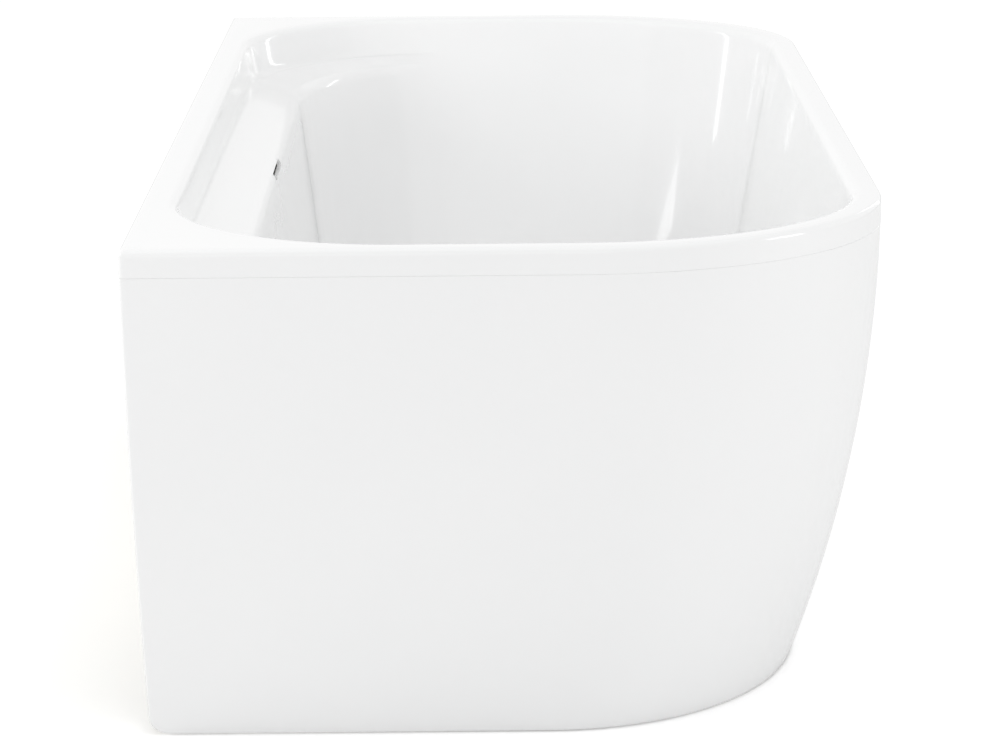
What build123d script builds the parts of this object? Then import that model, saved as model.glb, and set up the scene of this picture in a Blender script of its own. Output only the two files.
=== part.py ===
from build123d import *
import math
import os

os.makedirs("parts", exist_ok=True)

# Overall size. The wall side is +Y, the room side is -Y, and the floor is z = 0.
LENGTH = 1700
WIDTH = 800
HEIGHT = 545
SKIRT_GAP = 2

# Outside form: the ends and the room side draw in towards the floor, the two room corners are round.
STRAIGHT_BAND = 5
END_DRAW_IN = 90
ROOM_DRAW_IN = 82
WALL_DRAFT = 8
ROOM_CORNER_TOP = (300, 330)
ROOM_CORNER_FLOOR = (335, 280)

# Rim of the inner shell: flat top, rounded outer edge, lip turned down over the skirt.
RIM_WIDTH = 20
WALL_RIM_WIDTH = 29
LIP_HEIGHT = 28
LIP_ROUND = 6
LIP_CORNER = 4

# Well: depth, lean of each wall (run for each unit of depth), and the roundings at rim and floor.
WELL_DEPTH = 405
END_LEAN = 0.52
ROOM_LEAN = 0.20
WALL_LEAN = 0.14
RIM_ROUND = 14
WALL_RIM_ROUND = 10
END_FOOT = 90
SIDE_FOOT = 60
ROOM_WELL_CORNER_TOP = (280, 310)
ROOM_WELL_CORNER_FLOOR = (200, 180)

# Wall side of the well: a steep step under the rim, then a shelf that slopes into the well.
STEP_DEPTH = 48
STEP_LEAN = 0.23
SHELF_SLOPE = 0.28
SHELF_ROUND = 22
WELL_LINE = (84, 70)
STEP_CORNER = (250, 250)
SHELF_CORNER = (280, 185)
WALL_WELL_CORNER_FLOOR = (210, 150)

# Laminate thickness of shell and skirt, and the bonded joint between them.
SHELL_SIDE = 5
SHELL_FLOOR = 6
SKIRT_WALL = 6
SEAM = 0.5
BOND = 0.8
BEAD_LOW = 5
BEAD_HIGH = 18
JOGGLE = 5
JOGGLE_HEIGHT = 20
JOGGLE_ROOT = 8
FLANGE_WIDTH = 42
SKIRT_BOTTOM_CORNER = 20

# Base board under the well, notched round the waste.
BOARD = 15
BOARD_HALF_LENGTH = 470
BOARD_ROOM = -215
BOARD_WALL = 172
BOARD_CORNER = 60
NOTCH_NEAR = -60
NOTCH_FAR = 106
NOTCH_ROOM = 5

# Steel legs across the bath, posts at the wall and the batten that they carry.
TUBE = 30
TUBE_WALL = 1.5
LEG_X = 450
LEG_ROOM_END = -316
POST = 20
POST_Y = 382
BATTEN = (1120, 16, 30)
BATTEN_GAP = 2
STEEL = 3

# Screws up into the base board: shank radius, head radius, head height.
LEG_SCREW = (2.5, 5.5, 3)
PLATE_SCREW = (2, 4.5, 2.5)
BOARD_BITE = 11
LEG_SCREW_ROWS = (-185, -60, 60, 140)
PLATE_SCREW_X = 30
PLATE_SCREW_Y = 20

# Levelling feet, M12, with their threaded inserts, lock nuts and swivel pads.
ROD_RADIUS = 6
THREAD_GAP = 0.1
FOOT_ROOM_Y = -250
FOOT_WALL_Y = 320
CENTRE_FOOT = (0, -150)
CENTRE_PLATE = (80, 60)
WELDED_NUT_HEIGHT = 10
INSERT_RADIUS = 8.5
INSERT_FLANGE = 11
INSERT_RIM = 1.5
INSERT_DEPTH = 15
ROD_FOOT = 10
ROD_BELOW_BOARD = 7
ROD_INTO_BOARD = 9
ROD_HOLE_GAP = 2
SPANNER_HEXAGON = 18
SPANNER_LOW = 24
SPANNER_HIGH = 30
PAD_RADIUS = 25
PAD_HEIGHT = 16
PAD_EDGE = 4
PAD_SHOULDER = 22
PAD_NECK = 11
NUT_ACROSS_CORNERS = 21
NUT_HEIGHT = 8.5

# Wooden blocks bonded inside the skirt, and the steel that ties them to the legs.
BLOCK = (80, 60)
BLOCK_LOW = 100
END_BLOCK_FACE = 762
END_BLOCK_Y = -30
ROOM_BLOCK_FACE = -322
TIE_WIDTH = 26
TAB_TOP = 152
STAY_TAB_RISE = 3
BRACKET_LENGTH = 55
FIXING_PITCH = 14
TAB_SCREW_LEVEL = 140
LEG_SCREW_LEVEL = 103
BRACKET_SCREW_REACH = 35
BLOCK_BITE = 15
STEEL_BITE = 9
SCREW_RADIUS = 2
SCREW_HEAD = 4.5
SCREW_HEAD_HEIGHT = 3

# Waste: recess in the well's floor, chrome flange and sleeve, seals, plastic body with its hose port.
WASTE = (0, 60)
RECESS_RADIUS = 40
RECESS_DEPTH = 4
WASTE_HOLE = 23
SEAL = 1.5
SEAL_IN = 24
FLANGE_SEAL_OUT = 33
BODY_SEAL_OUT = 34
FLANGE_RADIUS = 34
FLANGE_HEIGHT = 3
SEAT_RADIUS = 29
SEAT_HEIGHT = 1
SLEEVE_OUT = 22
SLEEVE_IN = 19.5
SLEEVE_LENGTH = 29
BOSS_RADIUS = 8
BOSS_DROP = 26
BOSS_HEIGHT = 8
SPOKE_WIDTH = 3
SPOKE_HEIGHT = 5
SPOKE_DROP = 23
BODY_FLANGE = 36
BODY_FLANGE_HEIGHT = 6
BODY_RADIUS = 31
BODY_TAIL = 26.5
BODY_TAIL_TOP = 86
BODY_LOW = 78
CHAMBER_RADIUS = 26
CHAMBER_LOW = 90
CHAMBER_HIGH = 108
TAIL_BORE = 21
PORT_LEVEL = 101
PORT_REACH = 84

# Push plug, drawn open. It slides down by its travel to close.
PLUG_TRAVEL = 9
PLUG_CLEAR = 0.5
GUIDE_RADIUS = 5
GUIDE_HEAD = 7.5
GUIDE_HEAD_HEIGHT = 4
STEM_RADIUS = 3.5
STEM_GAP = 0.1
STEM_TAIL = 3
STOP_RADIUS = 5
STOP_GAP = 0.6
SPRING_OUT = 6.4
SPRING_IN = 4.6
SPRING_GAP = 0.3
CAP_RADIUS = 31
CAP_EDGE = 2
CAP_DOME = 1.5
CAP_TOP_RADIUS = 26
PLUG_SEAL_OUT = 27
PLUG_SEAL_IN = 21
PLUG_SEAL_HEIGHT = 2

# Overflow: slot under the shelf, box and gasket behind it, ribbed hose to the waste.
SLOT_LENGTH = 110
SLOT_HEIGHT = 8
SLOT_DEPTH = 73
SLOT_CUT = 90
BOX_HALF_LENGTH = 70
BOX_ROOM = 270
BOX_WALL = 348
BOX_LOW = 433
BOX_HIGH = 487
BOX_SHEET = 4
BOX_CHEEK = 8
GASKET = 3
SPIGOT_LENGTH = 24
SPIGOT_WALL = 2.5
HOSE_BORE = 14
HOSE_VALLEY = 16
HOSE_CREST = 19
HOSE_PITCH = 8
HOSE_CUFF = 20
HOSE_BEND = 70
HOSE_Y = 326
HOSE_TOP_GAP = 4
HOSE_END_Y = 124
RIB_SHARES = (0.1, 0.3, 0.6, 0.8)
CLIP_BAND = 1.2
CLIP_WIDTH = 10
CLIP_FROM_END = 5
WORM_HALF_LENGTH = 9
WORM_HEIGHT = 8

# Trap: union nut and washer, low bend, cleaning eye, compression outlet for a 40 mm waste pipe.
PIPE_OUT = 20
PIPE_IN = 17.5
TRAP_TOP = 76
TRAP_CROWN = 28
TRAP_REACH = 64
TRAP_OUTLET_LEVEL = 98
TRAP_ELBOW = 25
COLLAR_RADIUS = 26
COLLAR_HEIGHT = 3
WASHER_BORE = 19
UNION_RADIUS = 31
UNION_LIP_BORE = 20.5
UNION_LIP = 4
EYE_LEVEL = 50
EYE_RADIUS = 11
EYE_BORE = 8
EYE_REACH = 29
CLEANING_CAP_RADIUS = 14
CLEANING_CAP_HEIGHT = 8
SOCKET_START = 48
SOCKET_STOP = 52
SOCKET_RADIUS = 24
SOCKET_BORE = 20.2
SOCKET_LENGTH = 20
OUTLET_RING = 4
OUTLET_RING_GAP = 0.1
OUTLET_NUT_RADIUS = 28
OUTLET_NUT_GRIP = 14
OUTLET_NUT_LIP = 4
OUTLET_NUT_BORE = 20.8
GRIPS = 12
GRIP_HEIGHT = 2
GRIP_WIDTH = 4

# Levels worked out from the sizes above.
FLOOR_TOP = HEIGHT - WELL_DEPTH
SHELL_UNDER = FLOOR_TOP - SHELL_FLOOR
BOARD_UNDER = SHELL_UNDER - BOARD
TUBE_UNDER = BOARD_UNDER - TUBE
LIP_BOTTOM = HEIGHT - LIP_HEIGHT
RIM_UNDER = HEIGHT - SHELL_FLOOR
WASTE_SEAT = FLOOR_TOP - RECESS_DEPTH + SEAL
BODY_TOP = SHELL_UNDER - RECESS_DEPTH - SEAL
BOSS_LOW = WASTE_SEAT - BOSS_DROP
BOSS_HIGH = BOSS_LOW + BOSS_HEIGHT
SOCKET_MOUTH = WASTE[1] + SOCKET_STOP + SOCKET_LENGTH
OUTLET_X = WASTE[0] + TRAP_REACH

# How far a cutting shape reaches past the surface that it cuts.
PAST = 1


def between(start, stop, share):
    """The value part of the way from start to stop."""
    return start + (stop - start) * share


def save(shape, name):
    """Writes one sub-part."""
    export_step(shape, "parts/" + name + ".step")


def block(low, high):
    """A box from its lowest to its highest corner."""
    size = [b - a for a, b in zip(low, high)]
    middle = [(a + b) / 2 for a, b in zip(low, high)]
    return Pos(*middle) * Box(*size)


def drum(centre, radius, low, high):
    """An upright cylinder between two levels."""
    return Pos(centre[0], centre[1], (low + high) / 2) * Cylinder(radius, high - low)


def ring(centre, outer, inner, low, high):
    """An upright ring between two levels."""
    return drum(centre, outer, low, high) - drum(centre, inner, low - PAST, high + PAST)


def bar_along_y(centre_x, level, radius, low, high):
    """A cylinder on an axis along Y, between two places along that axis."""
    return Pos(centre_x, (low + high) / 2, level) * Rot(90, 0, 0) * Cylinder(radius, high - low)


def ring_along_y(centre_x, level, outer, inner, low, high):
    """A ring on an axis along Y, between two places along that axis."""
    whole = bar_along_y(centre_x, level, outer, low, high)
    return whole - bar_along_y(centre_x, level, inner, low - PAST, high + PAST)


def bar_along_x(centre_y, level, radius, low, high):
    """A cylinder on an axis along X, between two places along that axis."""
    return Pos((low + high) / 2, centre_y, level) * Rot(0, 90, 0) * Cylinder(radius, high - low)


def hexagon(centre, across, low, high):
    """An upright hexagonal bar between two levels."""
    flat = Pos(centre[0], centre[1], low) * RegularPolygon(across / 2, 6)
    return extrude(flat, high - low)


def plan(level, end, room, wall, room_corner, wall_corner=None):
    """A closed outline at one level: quarter ellipses at the room corners, and at the wall if asked."""
    rx, ry = room_corner
    wx, wy = wall_corner or (0, 0)
    edges = [Line((end - wx, wall, level), (wx - end, wall, level))]
    if wall_corner:
        edges.append(EllipticalCenterArc((wx - end, wall - wy, level), wx, wy, 90, arc_size=90))
    edges.append(Line((-end, wall - wy, level), (-end, ry - room, level)))
    edges.append(EllipticalCenterArc((rx - end, ry - room, level), rx, ry, 180, arc_size=90))
    edges.append(Line((rx - end, -room, level), (end - rx, -room, level)))
    edges.append(EllipticalCenterArc((end - rx, ry - room, level), rx, ry, 270, arc_size=90))
    edges.append(Line((end, ry - room, level), (end, wall - wy, level)))
    if wall_corner:
        edges.append(EllipticalCenterArc((end - wx, wall - wy, level), wx, wy, 0, arc_size=90))
    return Wire(edges)


def body_plan(depth, inset=0, level=None):
    """The outside outline at one depth below the rim, moved inwards by an inset."""
    draw_in = max(0, (depth - STRAIGHT_BAND) / (HEIGHT - STRAIGHT_BAND)) ** 2
    drop = depth / HEIGHT
    end = LENGTH / 2 - END_DRAW_IN * draw_in - inset
    room = WIDTH / 2 - ROOM_DRAW_IN * draw_in - inset
    wall = WIDTH / 2 - WALL_DRAFT * drop - inset
    corner = [between(a, b, drop) - inset for a, b in zip(ROOM_CORNER_TOP, ROOM_CORNER_FLOOR)]
    return plan(HEIGHT - depth if level is None else level, end, room, wall, corner)


def upright(depth, inset, low, high):
    """An upright block with the outside outline of one depth."""
    return extrude(Face(body_plan(depth, inset, low)), high - low, dir=(0, 0, 1))


def leaning_wall(depth, lean, rim_round, foot):
    """How far a wall stands in from the rim's inner edge: rim rounding, leaning wall, floor rounding."""
    slant = math.hypot(1, lean)
    rim_end = rim_round * (1 - lean / slant)
    foot_start = WELL_DEPTH - foot + foot * lean / slant
    if depth <= 0:
        return 0
    if depth < rim_end:
        return math.sqrt(rim_round ** 2 - (rim_round - depth) ** 2)
    at_wall = rim_round / slant + lean * (min(depth, foot_start) - rim_end)
    if depth <= foot_start:
        return at_wall
    foot_centre = rim_round / slant + lean * (WELL_DEPTH - foot - rim_end) + foot * slant
    return foot_centre - math.sqrt(max(0, foot ** 2 - (depth - WELL_DEPTH + foot) ** 2))


def shelf_rounding():
    """The arc that joins the shelf to the well wall: its centre and where it starts and stops."""
    shelf_slant = math.hypot(1, SHELF_SLOPE)
    wall_slant = math.hypot(1, WALL_LEAN)
    step_in = leaning_wall(STEP_DEPTH, STEP_LEAN, WALL_RIM_ROUND, SIDE_FOOT)
    # The centre is one radius behind both lines.
    shelf_in = step_in - SHELF_ROUND * SHELF_SLOPE / shelf_slant
    shelf_depth = STEP_DEPTH + SHELF_ROUND / shelf_slant
    wall_in = WELL_LINE[0] - SHELF_ROUND / wall_slant
    wall_depth = WELL_LINE[1] + SHELF_ROUND * WALL_LEAN / wall_slant
    run = shelf_depth - wall_depth + SHELF_SLOPE * (wall_in - shelf_in)
    run = run / (1 - SHELF_SLOPE * WALL_LEAN)
    centre = (wall_in + WALL_LEAN * run, wall_depth + run)
    start = centre[1] - SHELF_ROUND / shelf_slant
    stop = centre[1] - SHELF_ROUND * WALL_LEAN / wall_slant
    return centre, start, stop


def stepped_wall(depth):
    """How far the wall side stands in: steep step, sloping shelf, rounding, then the well wall."""
    centre, start, stop = shelf_rounding()
    if depth <= STEP_DEPTH:
        return leaning_wall(depth, STEP_LEAN, WALL_RIM_ROUND, SIDE_FOOT)
    if depth < start:
        step_in = leaning_wall(STEP_DEPTH, STEP_LEAN, WALL_RIM_ROUND, SIDE_FOOT)
        return step_in + (depth - STEP_DEPTH) / SHELF_SLOPE
    if depth < stop:
        return centre[0] + math.sqrt(SHELF_ROUND ** 2 - (centre[1] - depth) ** 2)
    at_rim = WELL_LINE[0] - WALL_LEAN * WELL_LINE[1]
    return at_rim + leaning_wall(depth, WALL_LEAN, 0, SIDE_FOOT)


def well_plan(depth, cover=0, level=None):
    """The well's outline at one depth below the rim, moved outwards by the laminate's cover."""
    start = shelf_rounding()[1]
    share = max(0, depth) / WELL_DEPTH
    end = LENGTH / 2 - RIM_WIDTH - leaning_wall(depth, END_LEAN, RIM_ROUND, END_FOOT) + cover
    room = WIDTH / 2 - RIM_WIDTH - leaning_wall(depth, ROOM_LEAN, RIM_ROUND, SIDE_FOOT) + cover
    wall = WIDTH / 2 - WALL_RIM_WIDTH - stepped_wall(depth) + cover
    room_corner = [between(a, b, share) + cover for a, b in zip(ROOM_WELL_CORNER_TOP, ROOM_WELL_CORNER_FLOOR)]
    if depth <= STEP_DEPTH:
        wall_corner = STEP_CORNER
    elif depth <= start:
        on_shelf = (depth - STEP_DEPTH) / (start - STEP_DEPTH)
        wall_corner = [between(a, b, on_shelf) for a, b in zip(STEP_CORNER, SHELF_CORNER)]
    else:
        below = (depth - start) / (WELL_DEPTH - start)
        wall_corner = [between(a, b, below) for a, b in zip(SHELF_CORNER, WALL_WELL_CORNER_FLOOR)]
    wall_corner = [a + cover for a in wall_corner]
    return plan(HEIGHT - depth if level is None else level, end, room, wall, room_corner, wall_corner)


def well_depths():
    """The depths at which the well's outline changes course: points on its roundings and its folds."""
    start, stop = shelf_rounding()[1:]
    rim = [RIM_ROUND * (1 - math.cos(math.radians(angle))) for angle in (20, 40, 60)]
    shelf = [between(start, stop, share) for share in (0.12, 0.4, 1)]
    foot = [WELL_DEPTH - END_FOOT * (1 - math.sin(math.radians(angle))) for angle in (27, 40, 52, 65, 78, 90)]
    return [0] + rim + [STEP_DEPTH, start] + shelf + foot


def well_solid():
    """The space inside the bath, up through the rim."""
    outlines = [well_plan(0, level=HEIGHT + PAST)]
    outlines += [well_plan(depth) for depth in well_depths()]
    return Solid.make_loft(outlines, True)


def well_backing():
    """The well with its laminate: the same outlines, larger and lower, from half way up the rim's sheet."""
    outlines = [well_plan(0, SHELL_SIDE, level=RIM_UNDER + SHELL_FLOOR / 2)]
    outlines += [well_plan(depth, SHELL_SIDE, level=RIM_UNDER - depth) for depth in well_depths()]
    return Solid.make_loft(outlines, True)


def make_inner_shell(well, backing):
    """The inner shell: rim and lip, well, waste recess and overflow slot in one laminate."""
    rim = upright(0, 0, LIP_BOTTOM, HEIGHT)
    corners = rim.edges().filter_by(Axis.Z).group_by(Axis.Y)[-1]
    rim = fillet(corners, LIP_CORNER)
    rim = fillet(rim.faces().sort_by(Axis.Z)[-1].edges(), LIP_ROUND)
    rim -= upright(0, SHELL_FLOOR, LIP_BOTTOM - PAST, RIM_UNDER)
    boss = drum(WASTE, RECESS_RADIUS + SHELL_FLOOR, SHELL_UNDER - RECESS_DEPTH, FLOOR_TOP - PAST)
    shell = rim + backing + boss - well
    shell -= drum(WASTE, RECESS_RADIUS, FLOOR_TOP - RECESS_DEPTH, FLOOR_TOP + PAST)
    shell -= drum(WASTE, WASTE_HOLE, 0, FLOOR_TOP)
    slot = Plane.XZ * Pos(0, HEIGHT - SLOT_DEPTH) * SlotOverall(SLOT_LENGTH, SLOT_HEIGHT)
    shell -= Pos(0, HOSE_Y, 0) * extrude(slot, SLOT_CUT)
    return shell


def service_window():
    """The open wall side of the skirt, between its two return flanges."""
    top = LENGTH / 2 - FLANGE_WIDTH
    bottom = top - END_DRAW_IN
    face = Plane.XZ * make_face(Polyline((-top, HEIGHT), (top, HEIGHT), (bottom, -PAST), (-bottom, -PAST), close=True))
    return Pos(0, WIDTH / 2 + PAST, 0) * extrude(face, FLANGE_WIDTH * 2)


def skirt_block(inset):
    """The outside form of the skirt, from its seam to its bottom edge."""
    top = LIP_HEIGHT + SEAM
    bottom = HEIGHT - SKIRT_GAP
    bands = 5
    depths = [between(top, bottom, band / bands) for band in range(bands + 1)]
    return Solid.make_loft([body_plan(depth, inset) for depth in depths])


def make_outer_skirt(window):
    """The skirt: near end, room side and far end in one sheet, with return flanges at the wall."""
    top = LIP_BOTTOM - SEAM
    root = top - JOGGLE_ROOT
    skirt = skirt_block(0) - skirt_block(SKIRT_WALL)
    joggle = upright(LIP_HEIGHT, SHELL_FLOOR + BOND, root, top + JOGGLE_HEIGHT)
    joggle += upright(LIP_HEIGHT, SKIRT_WALL / 2, root, top)
    joggle -= upright(LIP_HEIGHT, SHELL_FLOOR + BOND + JOGGLE, root - PAST, HEIGHT)
    # The skirt's bottom edge is round at the wall.
    corner_y = WIDTH / 2 - WALL_DRAFT - SKIRT_BOTTOM_CORNER
    corner_size = (SKIRT_BOTTOM_CORNER + WALL_DRAFT, SKIRT_BOTTOM_CORNER)
    corner = Pos(corner_y, SKIRT_GAP) * Rectangle(*corner_size, align=(Align.MIN, Align.MIN))
    corner -= Pos(corner_y, SKIRT_GAP + SKIRT_BOTTOM_CORNER) * Circle(SKIRT_BOTTOM_CORNER)
    return skirt + joggle - window - extrude(Plane.YZ * corner, LENGTH, both=True)


def make_seam_bond(window):
    """The bead of adhesive between the lip and the skirt's joggled edge."""
    low = LIP_BOTTOM + BEAD_LOW
    high = LIP_BOTTOM + BEAD_HIGH
    outside = upright(0, SHELL_FLOOR, low, high)
    return outside - upright(LIP_HEIGHT, SHELL_FLOOR + BOND, low - PAST, high + PAST) - window


def square_tube(low, high, axis):
    """A hollow square tube that fills a box, open along its long axis."""
    inner_low = [a + TUBE_WALL for a in low]
    inner_high = [a - TUBE_WALL for a in high]
    inner_low[axis] = low[axis] - PAST
    inner_high[axis] = high[axis] + PAST
    return block(low, high) - block(inner_low, inner_high)


def board_screw(place, size, under):
    """A screw up into the base board, with its head against a surface under the board."""
    shank, head, head_height = size
    screw = drum(place, head, under - head_height, under)
    return screw + drum(place, shank, under, BOARD_UNDER + BOARD_BITE)


def make_board_screws():
    """All screws of the base board: through the legs, and through the centre foot's plate."""
    legs = [board_screw((side * LEG_X, y), LEG_SCREW, TUBE_UNDER) for side in (-1, 1) for y in LEG_SCREW_ROWS]
    plate = []
    for x in (-PLATE_SCREW_X, PLATE_SCREW_X):
        for y in (-PLATE_SCREW_Y, PLATE_SCREW_Y):
            place = (CENTRE_FOOT[0] + x, CENTRE_FOOT[1] + y)
            plate.append(board_screw(place, PLATE_SCREW, BOARD_UNDER - STEEL))
    return legs, plate


def make_base_board(screws):
    """The board bonded under the well, notched for the waste and bored over the centre foot."""
    middle = (BOARD_ROOM + BOARD_WALL) / 2
    face = Pos(0, middle) * RectangleRounded(BOARD_HALF_LENGTH * 2, BOARD_WALL - BOARD_ROOM, BOARD_CORNER)
    board = extrude(Pos(0, 0, BOARD_UNDER) * face, BOARD)
    notch_low = (NOTCH_NEAR, NOTCH_ROOM, BOARD_UNDER - PAST)
    board -= block(notch_low, (NOTCH_FAR, BOARD_WALL + PAST, SHELL_UNDER + PAST))
    board -= drum(CENTRE_FOOT, ROD_RADIUS + ROD_HOLE_GAP, BOARD_UNDER - PAST, SHELL_UNDER + PAST)
    for screw in screws:
        board -= screw
    return board


def make_leg_bar(side, screws):
    """A square steel tube across the bath, with holes for its feet and screws."""
    x = side * LEG_X
    low = (x - TUBE / 2, LEG_ROOM_END, TUBE_UNDER)
    high = (x + TUBE / 2, POST_Y + POST / 2, BOARD_UNDER)
    bar = square_tube(low, high, 1)
    for y in (FOOT_ROOM_Y, FOOT_WALL_Y):
        bar -= drum((x, y), INSERT_RADIUS, TUBE_UNDER - PAST, TUBE_UNDER + TUBE_WALL + PAST)
    for screw in screws:
        bar -= screw
    return bar


def make_wall_post(side):
    """An upright tube from a leg to the batten under the wall rim."""
    x = side * LEG_X
    low = (x - POST / 2, POST_Y - POST / 2, BOARD_UNDER)
    high = (x + POST / 2, POST_Y + POST / 2, RIM_UNDER - BATTEN[2])
    return square_tube(low, high, 2)


def make_wall_batten():
    """The batten under the wall rim, behind the lip."""
    centre_y = WIDTH / 2 - SHELL_FLOOR - BATTEN_GAP - BATTEN[1] / 2
    return Pos(0, centre_y, RIM_UNDER - BATTEN[2] / 2) * Box(*BATTEN)


def foot_places():
    """Where the levelling feet stand: two under each leg and one under the middle of the board."""
    return {
        "near_room": (-LEG_X, FOOT_ROOM_Y),
        "near_wall": (-LEG_X, FOOT_WALL_Y),
        "far_room": (LEG_X, FOOT_ROOM_Y),
        "far_wall": (LEG_X, FOOT_WALL_Y),
        "centre": CENTRE_FOOT,
    }


def make_insert(place):
    """A threaded insert pressed into the bottom wall of a leg."""
    rim = drum(place, INSERT_FLANGE, TUBE_UNDER - INSERT_RIM, TUBE_UNDER)
    body = drum(place, INSERT_RADIUS, TUBE_UNDER, TUBE_UNDER + INSERT_DEPTH)
    return rim + body - drum(place, ROD_RADIUS + THREAD_GAP, 0, HEIGHT)


def make_centre_plate(screws):
    """The steel plate of the centre foot, with its welded nut."""
    x, y = CENTRE_FOOT
    under = BOARD_UNDER - STEEL
    reach_x = CENTRE_PLATE[0] / 2
    reach_y = CENTRE_PLATE[1] / 2
    plate = block((x - reach_x, y - reach_y, under), (x + reach_x, y + reach_y, BOARD_UNDER))
    plate += hexagon(CENTRE_FOOT, NUT_ACROSS_CORNERS, under - WELDED_NUT_HEIGHT, under)
    plate -= drum(CENTRE_FOOT, ROD_RADIUS + THREAD_GAP, 0, HEIGHT)
    for screw in screws:
        plate -= screw
    return plate


def lock_nut(place, top):
    """A nut run up under the leg or the welded nut, which locks a foot's rod."""
    nut = hexagon(place, NUT_ACROSS_CORNERS, top - NUT_HEIGHT, top)
    return nut - drum(place, ROD_RADIUS + THREAD_GAP, 0, HEIGHT)


def make_foot(place, top):
    """A levelling foot: threaded rod with a hexagon to turn it, and a swivel pad."""
    rod = drum(place, ROD_RADIUS, ROD_FOOT, top)
    rod += hexagon(place, SPANNER_HEXAGON, SPANNER_LOW, SPANNER_HIGH)
    base = drum(place, PAD_RADIUS, 0, PAD_EDGE)
    cone_place = Pos(place[0], place[1], (PAD_EDGE + PAD_HEIGHT) / 2)
    cone = cone_place * Cone(PAD_SHOULDER, PAD_NECK, PAD_HEIGHT - PAD_EDGE)
    pad = base + cone - drum(place, ROD_RADIUS, ROD_FOOT, PAD_HEIGHT + PAST)
    return rod, pad


def make_end_block(side, inside):
    """A wooden block bonded inside one end of the skirt."""
    low = (END_BLOCK_FACE, END_BLOCK_Y - BLOCK[0] / 2, BLOCK_LOW)
    high = (LENGTH / 2, END_BLOCK_Y + BLOCK[0] / 2, BLOCK_LOW + BLOCK[1])
    whole = block(low, high) if side > 0 else mirror(block(low, high), Plane.YZ)
    return whole & inside


def make_room_block(side, inside):
    """A wooden block bonded inside the room side of the skirt."""
    x = side * LEG_X
    low = (x - BLOCK[0] / 2, -WIDTH / 2, BLOCK_LOW)
    high = (x + BLOCK[0] / 2, ROOM_BLOCK_FACE, BLOCK_LOW + BLOCK[1])
    return block(low, high) & inside


def end_stay():
    """A flat steel stay from the far leg to the far end block, bent at both ends."""
    leg_face = LEG_X + TUBE / 2
    low_y = END_BLOCK_Y - TIE_WIDTH / 2
    high_y = END_BLOCK_Y + TIE_WIDTH / 2
    level = BOARD_UNDER - STEEL
    stay = block((leg_face, low_y, TUBE_UNDER + STAY_TAB_RISE), (leg_face + STEEL, high_y, BOARD_UNDER))
    stay += block((leg_face, low_y, level), (END_BLOCK_FACE, high_y, BOARD_UNDER))
    return stay + block((END_BLOCK_FACE - STEEL, low_y, level), (END_BLOCK_FACE, high_y, TAB_TOP))


def room_bracket():
    """A steel angle from the far leg to the far room block."""
    low_x = LEG_X - TIE_WIDTH / 2
    high_x = LEG_X + TIE_WIDTH / 2
    corner = (low_x, ROOM_BLOCK_FACE, BOARD_UNDER)
    foot = block(corner, (high_x, ROOM_BLOCK_FACE + BRACKET_LENGTH, BOARD_UNDER + STEEL))
    return foot + block(corner, (high_x, ROOM_BLOCK_FACE + STEEL, TAB_TOP))


def fixing_screw(seat, way, bite):
    """A screw with its head on the seat, driven in along the way."""
    back = [-a for a in way]
    shank = Solid.make_cylinder(SCREW_RADIUS, bite, Plane(origin=seat, z_dir=way))
    return shank + Solid.make_cylinder(SCREW_HEAD, SCREW_HEAD_HEIGHT, Plane(origin=seat, z_dir=back))


def far_fixing_screws():
    """The screws of the far end stay and the far room bracket."""
    leg_x = LEG_X + TUBE / 2 + STEEL
    tab_x = END_BLOCK_FACE - STEEL
    tab_y = ROOM_BLOCK_FACE + STEEL
    screws = []
    for offset in (-FIXING_PITCH / 2, FIXING_PITCH / 2):
        y = END_BLOCK_Y + offset
        screws.append(fixing_screw((tab_x, y, TAB_SCREW_LEVEL), (1, 0, 0), BLOCK_BITE))
        screws.append(fixing_screw((leg_x, y, LEG_SCREW_LEVEL), (-1, 0, 0), STEEL_BITE))
        screws.append(fixing_screw((LEG_X + offset, tab_y, TAB_SCREW_LEVEL), (0, -1, 0), BLOCK_BITE))
    foot_seat = (LEG_X, ROOM_BLOCK_FACE + BRACKET_SCREW_REACH, BOARD_UNDER + STEEL)
    screws.append(fixing_screw(foot_seat, (0, 0, -1), STEEL_BITE))
    return screws


def make_waste_flange():
    """The chrome flange: a dished ring with its sleeve, and a cross of spokes that holds a boss."""
    flange = drum(WASTE, FLANGE_RADIUS, WASTE_SEAT, WASTE_SEAT + FLANGE_HEIGHT)
    flange -= drum(WASTE, SEAT_RADIUS, WASTE_SEAT + SEAT_HEIGHT, FLOOR_TOP + FLANGE_HEIGHT)
    flange += drum(WASTE, SLEEVE_OUT, WASTE_SEAT - SLEEVE_LENGTH, WASTE_SEAT)
    flange -= drum(WASTE, SLEEVE_IN, 0, HEIGHT)
    spoke = Box(SLEEVE_OUT * 2, SPOKE_WIDTH, SPOKE_HEIGHT)
    cross = Pos(WASTE[0], WASTE[1], WASTE_SEAT - SPOKE_DROP) * (spoke + Rot(0, 0, 90) * spoke)
    cross &= drum(WASTE, (SLEEVE_IN + SLEEVE_OUT) / 2, 0, HEIGHT)
    boss = drum(WASTE, BOSS_RADIUS, BOSS_LOW, BOSS_HIGH)
    return flange + cross + boss - drum(WASTE, GUIDE_RADIUS, 0, HEIGHT)


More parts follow.
